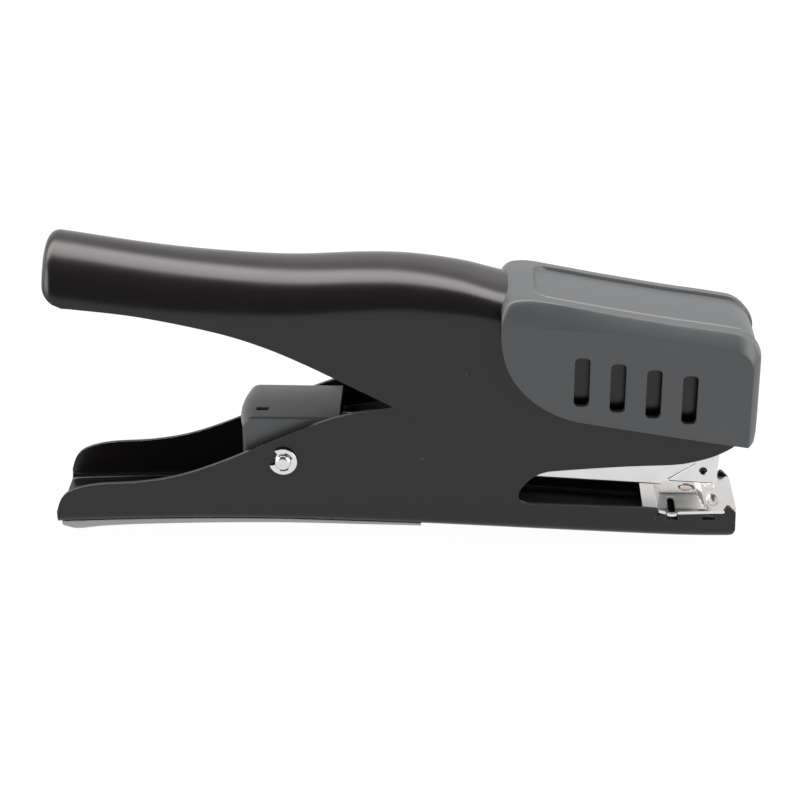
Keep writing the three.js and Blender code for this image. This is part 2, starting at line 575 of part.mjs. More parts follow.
const BOSS_RADIUS = 1.9;
const pusherSolid = subtractAll(
  joinAll([
    widthBox(PUSHER.rear, PUSHER.front, PUSHER.halfWidth, -1.9, PUSHER.top)
      .subtract(widthBox(PUSHER.rear - 1, PUSHER.front + 1, PUSHER.halfWidth - 0.7, -3, PUSHER.top - 0.8)),
    widthBox(PUSHER.rear + 1, PUSHER.front - 4, SLOT_HALF_WIDTH - 0.35, 0, PUSHER.top),
    toSolid(alongX(BOSS_RADIUS, PUSHER.rear + 1, PUSHER.front - 4, 0, 16)),
  ]),
  [toSolid(alongX(ROD_RADIUS + 0.3, 90, 110, 0))],
);
add('staple_pusher', toGeometry(pusherSolid), greyPlastic, tilted);

// a coil of square-ended wire about an axis, turned by place()
function coil(radius, wireRadius, from, to, turns, place, sides = 5, stepsPerTurn = 9) {
  class Helix extends THREE.Curve {
    getPoint(t, target = new THREE.Vector3()) {
      const angle = 2 * Math.PI * turns * t;
      const along = THREE.MathUtils.lerp(from + wireRadius, to - wireRadius, t);
      return place(target, along, radius * Math.cos(angle), radius * Math.sin(angle));
    }
  }
  const section = new THREE.Shape();
  section.absarc(0, 0, wireRadius, 0, 2 * Math.PI);
  const outline = new THREE.Shape(section.getSpacedPoints(sides).slice(0, sides));
  const settings = { steps: Math.round(turns * stepsPerTurn), extrudePath: new Helix(), bevelEnabled: false };
  const geometry = new THREE.ExtrudeGeometry(outline, settings);
  return toGeometry(toSolid(geometry));
}

const alongRail = (point, a, u, v) => point.set(a, u, v);
const feedSpring = coil(1.5, 0.25, RAIL.rear + 1, PUSHER.rear + 0.7, 26, alongRail, 4, 8);
add('feed_spring', feedSpring, springSteel, tilted);

// the cap: a hollow end with a deep rear wall, higher sides over the studs and a latch slot on top
function capSolid() {
  const { rear, front, top, halfWidth, wall, skirt, foot } = CAP;
  const side = new THREE.Shape();
  side.moveTo(rear + 0.4, foot);
  side.lineTo(rear, top - 4);
  side.quadraticCurveTo(rear - 0.1, top, rear + 4, top);
  lines(side, [[front, top], [front, skirt], [-35.2, skirt], [-35.2, foot]]);
  const section = new THREE.Shape();
  const roundness = 2.5;
  section.moveTo(-halfWidth, 0);
  section.lineTo(halfWidth, 0);
  section.absarc(halfWidth - roundness, top - roundness, roundness, 0, Math.PI / 2);
  section.absarc(-halfWidth + roundness, top - roundness, roundness, Math.PI / 2, Math.PI);
  const bar = new THREE.ExtrudeGeometry(section, { depth: 40, bevelEnabled: false, curveSegments: 4 });
  bar.rotateX(Math.PI / 2);
  bar.rotateZ(Math.PI / 2);
  bar.translate(-50, 0, 0);
  const outer = sideSolid(side, -halfWidth, halfWidth, 4).intersect(toSolid(bar));
  return subtractAll(outer, [
    widthBox(rear + 1.8, front + 1, halfWidth - wall, 0, top - wall),
    box(-37.9, -34.7, -4.4, -3.7, top - 3, top + 1),
  ]);
}
add('tray_cap', toGeometry(capSolid()), greyPlastic);

// ---- springs ----
const seatSolid = joinAll([
  widthBox(SEAT.x - 6, SEAT.x + 6, frameHalfWidth(SEAT.x + 6) - FRAME_SHEET - CLEARANCE, SEAT.z - 1, SEAT.z),
  widthBox(SEAT.x - 6, SEAT.x + 6, 3, SEAT.z - 2.2, SEAT.z),
]);
add('spring_seat', toGeometry(seatSolid), zincedSteel);

const springTop = handleTop(SEAT.x) - HANDLE_SHEET - 2;
const standing = (point, a, u, v) => point.set(SEAT.x + u, -v, a);
add('return_spring', coil(4.6, 0.6, SEAT.z + CLEARANCE, springTop, 6, standing, 6, 14), springSteel);

// a leaf from the frame's floor up to the magazine's floor
const leafOutline = new THREE.Shape();
leafOutline.moveTo(-24, 5.7);
lines(leafOutline, [[-8, 5.4]]);
spline(leafOutline, [[0, 6.4], [14, 11.8], [20, 14.7], [23, 14.8]]);
lines(leafOutline, [[23, 15.4]]);
spline(leafOutline, [[19.6, 15.3], [13.7, 12.4], [-0.2, 7], [-8, 6]]);
lines(leafOutline, [[-24, 6.3]]);
add('magazine_spring', toGeometry(sideSolid(leafOutline, -4, 4, 3)), springSteel);

export default group;
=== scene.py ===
# %% [markdown]
# # A plier stapler
# This stapler is squeezed in one hand. A black steel frame carries the anvil, a black steel
# handle swings over it on a pin, and a grey cover closes the head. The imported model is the
# fixed frame here: every size, place and joint comes from it. What this file adds is the fine
# surface: true bends, rolled edges, thin clips, coiled wire, and the finish of each material.

# %% Load the frame
import json
import math

import bmesh
import bpy
import numpy as np
from mathutils import Matrix, Vector
from mathutils.geometry import delaunay_2d_cdt

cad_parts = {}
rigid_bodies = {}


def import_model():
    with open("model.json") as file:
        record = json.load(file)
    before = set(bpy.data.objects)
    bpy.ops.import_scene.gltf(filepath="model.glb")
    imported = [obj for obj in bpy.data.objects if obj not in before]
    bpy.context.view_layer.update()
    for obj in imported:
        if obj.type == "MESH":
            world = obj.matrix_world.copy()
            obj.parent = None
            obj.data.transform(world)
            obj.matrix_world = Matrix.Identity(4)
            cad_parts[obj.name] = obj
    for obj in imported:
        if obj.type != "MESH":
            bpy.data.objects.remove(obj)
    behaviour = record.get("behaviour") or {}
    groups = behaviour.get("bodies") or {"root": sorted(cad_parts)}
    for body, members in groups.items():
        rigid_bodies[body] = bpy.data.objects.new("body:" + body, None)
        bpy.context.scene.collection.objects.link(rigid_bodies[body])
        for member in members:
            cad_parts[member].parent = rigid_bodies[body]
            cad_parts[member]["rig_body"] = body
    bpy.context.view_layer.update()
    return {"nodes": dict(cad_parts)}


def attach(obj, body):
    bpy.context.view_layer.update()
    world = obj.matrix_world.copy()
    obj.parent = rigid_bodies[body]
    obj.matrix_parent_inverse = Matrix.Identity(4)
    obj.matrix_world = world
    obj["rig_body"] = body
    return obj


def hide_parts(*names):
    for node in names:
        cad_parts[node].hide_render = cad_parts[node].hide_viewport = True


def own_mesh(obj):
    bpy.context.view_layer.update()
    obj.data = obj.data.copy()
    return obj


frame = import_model()
MM = 0.001

# %% [markdown]
# ## Camera
# The camera stands a little to the right of the tool's middle and looks down on it by 25
# degrees, from about three times its length, so that the long sides stay nearly parallel. A
# long lens frames it as a catalogue would.

# %% Place the camera
CAMERA_TURN = math.radians(1.8)
CAMERA_RISE = math.radians(25)
CAMERA_DISTANCE = 579.45 * MM
CAMERA_LENS = 100.35                 # on a sensor 36 mm wide
LOOK_AT = Vector((-0.65, 0, 33.56)) * MM


def direction(turn, rise):
    """A unit vector, turned about Z from -Y and raised from the level."""
    level = math.cos(rise)
    return Vector((math.sin(turn) * level, -math.cos(turn) * level, math.sin(rise)))


camera = bpy.data.objects.new("camera", bpy.data.cameras.new("camera"))
bpy.context.scene.collection.objects.link(camera)
camera.data.lens = CAMERA_LENS
camera.data.clip_end = 20
camera.location = LOOK_AT + CAMERA_DISTANCE * direction(CAMERA_TURN, CAMERA_RISE)
camera.rotation_euler = (LOOK_AT - camera.location).to_track_quat("-Z", "Y").to_euler()
bpy.context.scene.camera = camera
print("camera stands at", [round(c, 3) for c in camera.location])

# %% [markdown]
# ## Expressions for node trees
# A node tree is easier to read as arithmetic. This small class wraps an output socket, so that
# `1 - mask * 0.4` makes the Math nodes it needs. Every other node comes from `make`, which sets
# the node's own settings first and then its sockets, by value or by link.

# %% A socket that can be used in sums
class Value:
    """An output socket of a node tree, with the operators that this file uses."""

    def __init__(self, tree, socket):
        self.tree = tree
        self.socket = socket

    def math(self, operation, *terms):
        sockets = dict(enumerate(terms))
        return make(self.tree, "ShaderNodeMath", {"operation": operation}, sockets)

    def __add__(self, other):
        return self.math("ADD", self, other)

    def __radd__(self, other):
        return self.math("ADD", other, self)

    def __sub__(self, other):
        return self.math("SUBTRACT", self, other)

    def __rsub__(self, other):
        return self.math("SUBTRACT", other, self)

    def __mul__(self, other):
        return self.math("MULTIPLY", self, other)

    def __rmul__(self, other):
        return self.math("MULTIPLY", other, self)

    def above(self, edge, softness):
        """0 well below the edge and 1 well above it, with a smooth step between."""
        sockets = {0: self, 1: edge - softness, 2: edge + softness, 3: 0.0, 4: 1.0}
        return make(self.tree, "ShaderNodeMapRange", {"interpolation_type": "SMOOTHSTEP"}, sockets)


def make(tree, kind, settings=None, sockets=None, output=0):
    """A node of any kind: its settings first, then the values or links of its sockets."""
    node = tree.nodes.new(kind)
    for name, setting in (settings or {}).items():
        setattr(node, name, setting)
    for name, value in (sockets or {}).items():
        if isinstance(value, Value):
            tree.links.new(value.socket, node.inputs[name])
        else:
            node.inputs[name].default_value = value
    return Value(tree, node.outputs[output]) if len(node.outputs) else node


print("expressions ready")

# %% [markdown]
# ## Studio
# Glossy black paint shows little but its surroundings, so the studio is the most important
# "texture" of this tool. A long soft light hangs overhead and a little behind, a pale wall
# stands behind, and the ground is bright. The side of the camera is dim, but for a low light
# to its left and right. The world can hold all of it as a function of direction, with no seams
# and little noise. The camera itself sees plain white, through the Light Path node.

# %% Build the studio world
world = bpy.data.worlds.new("studio")
bpy.context.scene.world = world
world.use_nodes = True
sky = world.node_tree
sky.nodes.clear()
SOFTBOX = {"near": math.radians(86), "far": math.radians(123), "reach": 0.8, "strength": 7.6}
BACK_WALL = {"from": math.radians(100), "edge": 0.3, "strength": 0.95}
END_WALLS = 1.2
SIDE_LIGHTS = {"reach": 0.62, "rise": 0.6, "edge": 0.06, "front": -0.1, "front edge": 0.1, "strength": 4.6}
CAMERA_SIDE = 0.10
GROUND_GLOW = 0.95
EDGE = {"near": 0.05, "far": 0.14, "end": 0.12, "ground": 0.05}

ray = make(sky, "ShaderNodeTexCoord", output="Generated")
split = make(sky, "ShaderNodeSeparateXYZ", sockets={0: ray}).socket.node.outputs
ray_x, ray_y, ray_z = (Value(sky, socket) for socket in split)
overhead = ray_z.math("ARCTAN2", ray_z, ray_y * -1)     # 0 at the camera's side, pi behind
inside = overhead.above(SOFTBOX["near"], EDGE["near"]) * (1 - overhead.above(SOFTBOX["far"], EDGE["far"]))
sideways = ray_x.math("ABSOLUTE", ray_x)
ends = sideways.above(SOFTBOX["reach"], EDGE["end"])
low_lights = sideways.above(SIDE_LIGHTS["reach"], SIDE_LIGHTS["edge"])
low_lights = low_lights * (1 - ray_z.above(SIDE_LIGHTS["rise"], SIDE_LIGHTS["edge"]))
low_lights = low_lights * (1 - ray_y.above(SIDE_LIGHTS["front"], SIDE_LIGHTS["front edge"]))
behind = overhead.above(BACK_WALL["from"], BACK_WALL["edge"])
walls = CAMERA_SIDE + behind * (BACK_WALL["strength"] - CAMERA_SIDE)
softbox = (1 - ends) * inside * SOFTBOX["strength"]
room = walls + softbox + ends * END_WALLS + low_lights * SIDE_LIGHTS["strength"]
above_ground = ray_z.above(0.0, EDGE["ground"])
radiance = above_ground * room + (1 - above_ground) * GROUND_GLOW
seen = make(sky, "ShaderNodeLightPath", output="Is Camera Ray")
brightness = radiance * (1 - seen) + seen
background = make(sky, "ShaderNodeBackground", sockets={"Color": (1, 0.985, 0.97, 1), "Strength": brightness})
make(sky, "ShaderNodeOutputWorld", sockets={"Surface": background})
bpy.context.scene.view_settings.view_transform = "Standard"
print("studio:", len(sky.nodes), "nodes")

# %% [markdown]
# The ground is a large plane that glows almost white, so that the catalogue page stays clean,
# with only a breath of shade where the tool touches it.

# %% Lay the ground
GROUND_HALF = 3.0
ground_mesh = bpy.data.meshes.new("ground")
corners = [(-GROUND_HALF, -GROUND_HALF, 0), (GROUND_HALF, -GROUND_HALF, 0),
           (GROUND_HALF, GROUND_HALF, 0), (-GROUND_HALF, GROUND_HALF, 0)]
ground_mesh.from_pydata(corners, [], [(0, 1, 2, 3)])
ground = bpy.data.objects.new("ground", ground_mesh)
bpy.context.scene.collection.objects.link(ground)
paper = bpy.data.materials.new("paper")
paper.use_nodes = True
paper_shader = paper.node_tree.nodes["Principled BSDF"]
paper_shader.inputs["Base Color"].default_value = (0.03, 0.03, 0.03, 1)
paper_shader.inputs["Roughness"].default_value = 1.0
paper_shader.inputs["Specular IOR Level"].default_value = 0.0
paper_shader.inputs["Emission Color"].default_value = (1, 1, 1, 1)
paper_shader.inputs["Emission Strength"].default_value = 0.97
ground_mesh.materials.append(paper)
print("ground:", 2 * GROUND_HALF, "m wide")

# %% [markdown]
# ## Finishes
# Each finish starts from one Principled shader. Its constants are set on the shader itself, and
# only what truly varies over the surface is linked: colour, roughness and a bump for the
# normal. Patterns are read in object coordinates, in metres, so their scales are true sizes.

# %% A finish and its patterns
class Finish:
    """One procedural material around a Principled shader."""

    def __init__(self, name, **constants):
        self.material = bpy.data.materials.new(name)
        self.material.use_nodes = True
        self.tree = self.material.node_tree
        self.shader = self.tree.nodes["Principled BSDF"]
        for socket, value in constants.items():
            self.shader.inputs[socket.replace("_", " ")].default_value = value
        self.place = make(self.tree, "ShaderNodeTexCoord", output="Object")

    def noise(self, size, detail=2.0, stretch=(1, 1, 1)):
        """Soft noise, about 0.3 to 0.7, whose grains are `size` millimetres across."""
        scale = [share / (size * MM) for share in stretch]
        where = make(self.tree, "ShaderNodeMapping", sockets={"Vector": self.place, "Scale": scale})
        sockets = {"Vector": where, "Scale": 1.0, "Detail": detail}
        return make(self.tree, "ShaderNodeTexNoise", sockets=sockets)

    def specks(self, spacing, share, radius):
        """1 on a few small dots: one cell in 1/share has a dot, `radius` of a cell wide."""
        sockets = {"Vector": self.place, "Scale": 1 / (spacing * MM)}
        cells = make(self.tree, "ShaderNodeTexVoronoi", sockets=sockets, output="Distance")
        colour = Value(self.tree, cells.socket.node.outputs["Color"])
        chance = make(self.tree, "ShaderNodeSeparateColor", sockets={0: colour})
        return (1 - cells.above(radius, radius * 0.3)) * chance.above(1 - share, 0.001)

    def mix(self, factor, first, second):
        """A blend of two colours."""
        sockets = {0: factor, 6: (*first, 1) if isinstance(first, tuple) else first, 7: (*second, 1)}
        return make(self.tree, "ShaderNodeMix", {"data_type": "RGBA"}, sockets, output=2)

    def link(self, socket, value):
        self.tree.links.new(value.socket, self.shader.inputs[socket])

    def bump(self, height, depth):
        """Relief of `depth` millimetres between heights 0 and 1."""
        sockets = {"Height": height, "Distance": depth * MM, "Strength": 1.0}
        self.link("Normal", make(self.tree, "ShaderNodeBump", sockets=sockets))


print("finish maker ready")

# %% [markdown]
# **Black enamel** is sprayed and baked on the steel. It is almost black, satin, and very
# slightly wavy, which breaks the reflections of the studio softly. A little dust lies on it.

# %% Black enamel
BLACK, DUST = (0.0047, 0.0040, 0.0041), (0.30, 0.28, 0.26)
# light greys of the painted highlight along the frame's rolled edges, patchy like bare steel
LIT_THIN_ENAMEL, LIT_BARE_STEEL = (0.22, 0.21, 0.20), (0.60, 0.58, 0.56)


def black_enamel():
    finish = Finish("black_enamel", Specular_IOR_Level=0.41)
    cloud = finish.noise(14, 3)
    dust = finish.specks(5.5, 0.05, 0.02)
    finish.link("Base Color", finish.mix(dust, BLACK, DUST))
    finish.link("Roughness", 0.20 + cloud * 0.10 + dust * 0.3)
    finish.bump(finish.noise(1.1, 2) + dust * 0.5, 0.004)
    return finish.material


def highlit_worn_enamel():
    """The frame's rolled edges get a painted highlight: light grey in patches, like bare steel where the
    enamel is thin.
    """
    finish = Finish("highlit_worn_enamel")
    edge_highlight_patches = finish.noise(2.2, 4).above(0.5, 0.16)
    finish.link("Base Color", finish.mix(edge_highlight_patches, LIT_THIN_ENAMEL, LIT_BARE_STEEL))
    finish.link("Roughness", 0.34 - edge_highlight_patches * 0.08)
    finish.bump(finish.noise(0.4, 2), 0.004)
    return finish.material


# %% [markdown]
# **Moulded plastic** of the cover, the tray's cap and the base grip has a fine spark-eroded
# grain. The pieces differ in colour only, so one function makes them all.

# %% Moulded plastics
def moulded_plastic(name, shade, dusty, roughness):
    finish = Finish(name, Specular_IOR_Level=0.5)
    grain = finish.noise(0.35, 2)
    cloud = finish.noise(18, 2)
    darker = tuple(part * 0.93 for part in shade)
    tone = finish.mix(cloud, darker, tuple(part * 1.07 for part in shade))
    dust = finish.specks(4.2, 0.10, 0.022)
    finish.link("Base Color", finish.mix(dust, tone, dusty))
    finish.link("Roughness", roughness - 0.04 + grain * 0.08 + dust * 0.2)
    finish.bump(grain + dust, 0.006)
    return finish.material


# %% [markdown]
# ** Metals.** Nickel plate on the anvil and magazine is bright, with faint drawn lines along the
# strip that it was pressed from. Zinc plate is greyer and cloudy. Spring steel is darker, and
# the anvil's rivet is copper washed. All are the same tree with other numbers. Where a mesh has
# the attributes "worn" and "painted_shade", the first scuffs the metal and the second paints a
# dark reflection into its colour.

# %% Plated metals
WORN_METAL = (0.92, 0.91, 0.90)      # scuffed, so it shines less evenly
# colour of a painted dark reflection, mixed in where "painted_shade" is set
PAINTED_SHADE_METAL = (0.05, 0.055, 0.065)


def plated_metal(name, bright, dull, roughness, grain=(1, 1, 1), grain_size=0.5, relief=0.003):
    finish = Finish(name, Metallic=1.0)
    streaks = finish.noise(grain_size, 3, grain)
    cloud = finish.noise(5, 3)
    worn = make(finish.tree, "ShaderNodeAttribute", {"attribute_name": "worn"}, output="Fac")
    tone = finish.mix(cloud, dull, bright)
    # painted dark reflection: darkens the metal where the "painted_shade" attribute is set
    painted_shade = make(finish.tree, "ShaderNodeAttribute", {"attribute_name": "painted_shade"}, output="Fac")
    scuffed = finish.mix(worn * (0.5 + streaks * 0.5), tone, WORN_METAL)
    finish.link("Base Color", finish.mix(painted_shade * (0.7 + cloud * 0.3), scuffed, PAINTED_SHADE_METAL))
    finish.link("Roughness", roughness - 0.06 + streaks * 0.10 + cloud * 0.04 + worn * 0.34)
    finish.bump(streaks, relief)
    return finish.material


ALONG_X = (0.06, 1, 1)
edge_highlight_enamel = highlit_worn_enamel()
finishes = {
    "black_paint": black_enamel(),
    "grey_plastic": moulded_plastic("grey_plastic", (0.046, 0.049, 0.052), (0.45, 0.46, 0.46), 0.40),
    "pale_plastic": moulded_plastic("pale_plastic", (0.24, 0.24, 0.235), (0.5, 0.5, 0.48), 0.45),
    "nickel": plated_metal("nickel", (0.76, 0.74, 0.72), (0.60, 0.605, 0.62), 0.22, ALONG_X, 0.25, 0.002),
    "zinced_steel": plated_metal("zinced_steel", (0.68, 0.68, 0.66), (0.50, 0.50, 0.50), 0.34),
    "spring_steel": plated_metal("spring_steel", (0.50, 0.49, 0.48), (0.36, 0.36, 0.36), 0.28, ALONG_X),
    "coppered_rivet": plated_metal("coppered_rivet", (0.78, 0.68, 0.61), (0.66, 0.56, 0.50), 0.30),
}
print("finishes:", ", ".join(finishes))

# %% [markdown]
# ## Shaping tools
# The tool's outlines are smooth curves through a few points, as a draughtsman would lay a
# spline along pins. `heights` turns such a curve into a height at any place along the tool.

# %% Curves through a few points
def smooth(points, steps=10):
    """Points along a Catmull-Rom curve through the given ones."""
    given = np.array([points[0], *points, points[-1]], float)
    t = np.linspace(0, 1, steps, endpoint=False)[:, None]
    parts = []
    for before, start, end, after in zip(given, given[1:], given[2:], given[3:]):
        leave, arrive = (end - before) / 2, (after - start) / 2
        parts.append((2 * start - 2 * end + leave + arrive) * t**3
                     + (3 * end - 3 * start - 2 * leave - arrive) * t**2 + leave * t + start)
    return [tuple(point) for part in parts for point in part] + [tuple(points[-1])]


def heights(points):
    curve = np.array(smooth(points, 30))
    return lambda x: np.interp(x, curve[:, 0], curve[:, 1])


def arc(x, z, radius, start, end, steps=8):
    """Points on a circle's arc, from one angle to another."""
    return [(x + radius * math.cos(a), z + radius * math.sin(a)) for a in np.linspace(start, end, steps)]


def round_hole(x, z, radius, steps=32, turn=1.94):
    """A round loop that stops just before its start; a panel joins its two ends."""
    return arc(x, z, radius, 0, turn * math.pi, steps)


def along(start, end, step):
    """Evenly spaced places, both ends included."""
    return np.linspace(start, end, max(2, round(abs(end - start) / step) + 1))


def both_halves(half):
    """Half a section, as y and z, and then its mirror image, walked back."""
    return half + [(-y, z) for y, z in reversed(half)]


def both_sides(near):
    """The near side of a plan, as x and y, and then its mirror image, walked back."""
    return near + [(x, -y) for x, y in reversed(near)]


def distances(path):
    """How far along a path each of its points lies."""
    return np.concatenate([[0], np.cumsum(np.linalg.norm(np.diff(path, axis=0), axis=1))])


def outward_normals(path):
    """Unit normals of a path in the side view, on its left."""
    tangent = np.gradient(path, axis=0)
    outward = np.column_stack([-tangent[:, 1], tangent[:, 0]])
    return outward / np.linalg.norm(outward, axis=1)[:, None]


def moulded_ring(shoulder, top):
    """Up the near shoulder, across the top and down the far shoulder; each point is (x, z), y."""
    near = [(x, -y, z) for (x, z), y in shoulder]
    return near + [(x, y, z) for (x, z), y in top + shoulder[::-1]]


print("curve tools ready")

# %% [markdown]
# Sheet metal and plastic walls are modelled as one open outer skin, made of grids and of flat
# panels with holes. A Solidify modifier then gives the skin its real thickness inwards, and a
# Bevel rolls its cut edges, as deburring does. This keeps each edge editable by one number.

# %% Skins, walls and edges
def is_inside(point, loop):
    """Whether a point lies inside a closed loop, by counting the sides that it looks across."""
    crossings = 0
    for (x, z), (next_x, next_z) in zip(loop, loop[1:] + loop[:1]):
        if (z > point.y) != (next_z > point.y):
            crossings += point.x < x + (next_x - x) * (point.y - z) / (next_z - z)
    return crossings % 2 == 1


class Skin:
    """An open surface in millimetres, put together from grids and flat panels."""

    def __init__(self):
        self.points = []
        self.faces = []

    def grid(self, rows):
        """rows[i][j] is a point; the skin faces the way that (next row) x (next column) points."""
        rows = np.asarray(rows, float)
        count, width = rows.shape[:2]
        first = len(self.points)
        self.points += rows.reshape(-1, 3).tolist()
        for a in (first + i * width + j for i in range(count - 1) for j in range(width - 1)):
            self.faces.append((a, a + width, a + width + 1, a + 1))

    def panel(self, outline, holes, place, far=False):
        """A flat panel with holes, given in x and z; `place` puts a point of it into space."""
        loops = [outline, *holes]
        flat = [Vector(point) for loop in loops for point in loop]
        edges = []
        for loop in loops:
            first = len(edges)
            edges += [(first + i, first + (i + 1) % len(loop)) for i in range(len(loop))]
        points, _, triangles, *_ = delaunay_2d_cdt(flat, edges, [], 1, 1e-6)
        middles = [sum((points[i] for i in face), Vector((0, 0))) / len(face) for face in triangles]
        plate = bmesh.new()
        corners = [plate.verts.new((x, z, 0)) for x, z in points]
        for face, middle in zip(triangles, middles):
            if not any(is_inside(middle, hole) for hole in holes):
                plate.faces.new([corners[i] for i in face])
        bmesh.ops.dissolve_limit(plate, angle_limit=0.001, verts=plate.verts, edges=plate.edges)
        first = len(self.points)
        plate.verts.index_update()
        self.points += [place(vert.co.x, vert.co.y) for vert in plate.verts]
        for face in plate.faces:
            corners = [first + vert.index for vert in face.verts]
            self.faces.append(corners[::-1] if far else corners)
        plate.free()

    def walls(self, outline, holes, half_width):
        """The same panel near and far; half_width is a number, or a function of x."""
        half = half_width if callable(half_width) else lambda x: half_width
        self.panel(outline, holes, lambda x, z: (x, -half(x), z))
        self.panel(outline, holes, lambda x, z: (x, half(x), z), far=True)

    def build(self, name, merge=0.004):
        mesh = bpy.data.meshes.new(name)
        mesh.from_pydata((np.array(self.points) * MM).tolist(), [], self.faces)
        shape = bmesh.new()
        shape.from_mesh(mesh)
        bmesh.ops.remove_doubles(shape, verts=shape.verts, dist=merge * MM)
        for face in shape.faces:
            face.smooth = True
        shape.to_mesh(mesh)
        shape.free()
        piece = bpy.data.objects.new(name, mesh)
        bpy.context.scene.collection.objects.link(piece)
        return piece


def give_wall(piece, thickness):
    wall = piece.modifiers.new("wall", "SOLIDIFY")
    wall.thickness = thickness * MM
    wall.offset = -1
    wall.use_even_offset = True
    wall.use_quality_normals = True


def roll_edges(piece, radius, sharper_than=50, segments=2):
    bevel = piece.modifiers.new("rolled edges", "BEVEL")
    bevel.width = radius * MM
    bevel.segments = segments
    bevel.limit_method = "ANGLE"
    bevel.angle_limit = math.radians(sharper_than)
    bevel.use_clamp_overlap = True
    flat = piece.modifiers.new("even shading", "WEIGHTED_NORMAL")
    flat.keep_sharp = True


def paint_edge_highlight(piece):
    """The rolled edges take a second material, which paints a highlight on them."""
    piece.data.materials.append(edge_highlight_enamel)
    piece.modifiers["rolled edges"].material = 1


def set_finish(piece, slot):
    piece.data.materials.clear()
    piece.data.materials.append(finishes[slot])


def stands_for(piece, slot, *nodes):
    """The piece takes its finish, and the place in the tool of the nodes that it stands for."""
    set_finish(piece, slot)
    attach(piece, frame["nodes"][nodes[0]]["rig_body"])
    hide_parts(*nodes)
    print(piece.name, "stands for", ", ".join(nodes), "with", len(piece.data.polygons), "faces")


print("skin tools ready")

# %% [markdown]
# ## The frame
# One strip of one-millimetre steel is folded into a trough: two tall walls and a floor, joined
# by two bends. The walls narrow towards the jaw. The floor and bends are a grid of rings along
# the tool, and each wall is a flat panel cut to the side outline, with its holes.

# %% Shape the frame
FRAME = {"sheet": 1.0, "half width": 13.0, "front half width": 10.75, "taper": (-13, 87), "bend": 2.5,
         "rear": -89.8, "front": 87.0, "notch": 84.6}
PIVOT = (-30.3, 22)                  # of the magazine and the driver lever
FULCRUM = (79.5, 45)                 # of the handle
frame_bottom = heights([(-92, 2.4), (-60, 3.8), (-30, 4.2), (2, 3.4), (37, 1.7), (60, 0.6), (76, 0), (90, 0)])


def frame_half_width(x):
    return np.interp(x, FRAME["taper"], (FRAME["half width"], FRAME["front half width"]))


def frame_wall_edge():
    """The side outline from the rear end, over the top, through the throat, to the front."""
    rear = [(-89.8, 6.2), (-88.4, 9.9), (-85.5, 12.4), (-78.9, 14.2), (-66.9, 15.2), (-56.4, 17.4),
            (-44.5, 22),
            (-32, 28), (-16.4, 34.4), (-1.5, 37.5), (14, 40)]
    throat = [(85.8, 27.6), (84.6, 26.2), (80.4, 23.9), (75.7, 22.4), (70.2, 21.4), (57.3, 20.8),
              (41.5, 19.6),
              (36.7, 18.9), (33.4, 17.1), (31.2, 14.6), (30.3, 12.4), (30.9, 10.7), (32.6, 9.8)]
    jaw = [(62, 8.9), (66.4, 8.5), (66.4, 6.9), (84, 6.9), (84, 8.6), (84.5, 9.3), (85.2, 9.2), (86.8, 7.6)]
    roller_notch = [(37.6, 43.5), (37.6, 32), (45.4, 32), (45.4, 45)]
    return smooth(rear) + roller_notch + arc(*FULCRUM, 6, 2, 0.2) + [(85.8, 38)] + smooth(throat) + jaw


def clip_at(outline, x_cut, keep_rear):
    """The part of a closed outline on one side of an upright line."""
    kept = []
    for (x, z), (next_x, next_z) in zip(outline, outline[1:] + outline[:1]):
        inside, next_inside = (x <= x_cut) == keep_rear, (next_x <= x_cut) == keep_rear
        if inside or x == x_cut:
            kept.append((x, z))
        if inside != next_inside and x_cut not in (x, next_x):
            kept.append((x_cut, z + (next_z - z) * (x_cut - x) / (next_x - x)))
    return kept


def tab_slot(x, half_length=1.65, z=6.05, half_height=0.65):
    return [(x - half_length, z - half_height), (x + half_length, z - half_height),
            (x + half_length, z + half_height), (x - half_length, z + half_height)]


def frame_skin():
    skin = Skin()
    taper_start, bend = FRAME["taper"][0], FRAME["bend"]
    xs = [*along(FRAME["rear"], taper_start, 2.6), *along(taper_start, FRAME["notch"], 2.6)[1:],
          FRAME["front"]]
    turn = np.linspace(0, math.pi / 2, 7)
    rings = []
    for x in xs:
        half, bottom = frame_half_width(x), frame_bottom(x)
        side = [(half - bend + bend * math.cos(a), bottom + bend - bend * math.sin(a)) for a in turn]
        rings.append([(x, y, z) for y, z in both_halves(side)])
    toe = [(0.05, FRAME["notch"]), (0.4, 85.6), (0.9, 86.3), (2.6, FRAME["front"])]
    rings[-1] = [(np.interp(z, *zip(*toe)), y, z) for _, y, z in rings[-1]]
    skin.grid(rings)
    lower_edge = [(x, float(frame_bottom(x)) + bend) for x in xs[:-1]] + [(rings[-1][0][0], rings[-1][0][2])]
    outline = frame_wall_edge() + lower_edge[::-1]
    if outline[0][1] - outline[-1][1] < 0.01:
        outline.pop()
    holes = [round_hole(*PIVOT, 2.4), round_hole(*FULCRUM, 2.7), tab_slot(70.2), tab_slot(79.8)]
    for keep_rear in (True, False):
        part = clip_at(outline, taper_start, keep_rear)
        inner = [hole for hole in holes if (hole[0][0] < taper_start) == keep_rear]
        skin.walls(part, inner, frame_half_width)
    return skin


frame_piece = frame_skin().build("folded_frame")
give_wall(frame_piece, FRAME["sheet"])
roll_edges(frame_piece, 0.26, sharper_than=65)
stands_for(frame_piece, "black_paint", "frame")
# the frame's rolled edges get a painted highlight
paint_edge_highlight(frame_piece)

# %% [markdown]
# ## The handle
# A second strip is drawn into a long arch, open below, that fits over the frame. Its crown is
# round at the grip and flattens under the cover. Each ring of the grid runs from the near lower
# edge, over the crown, to the far one, and the first rings open from a blunt round nose.

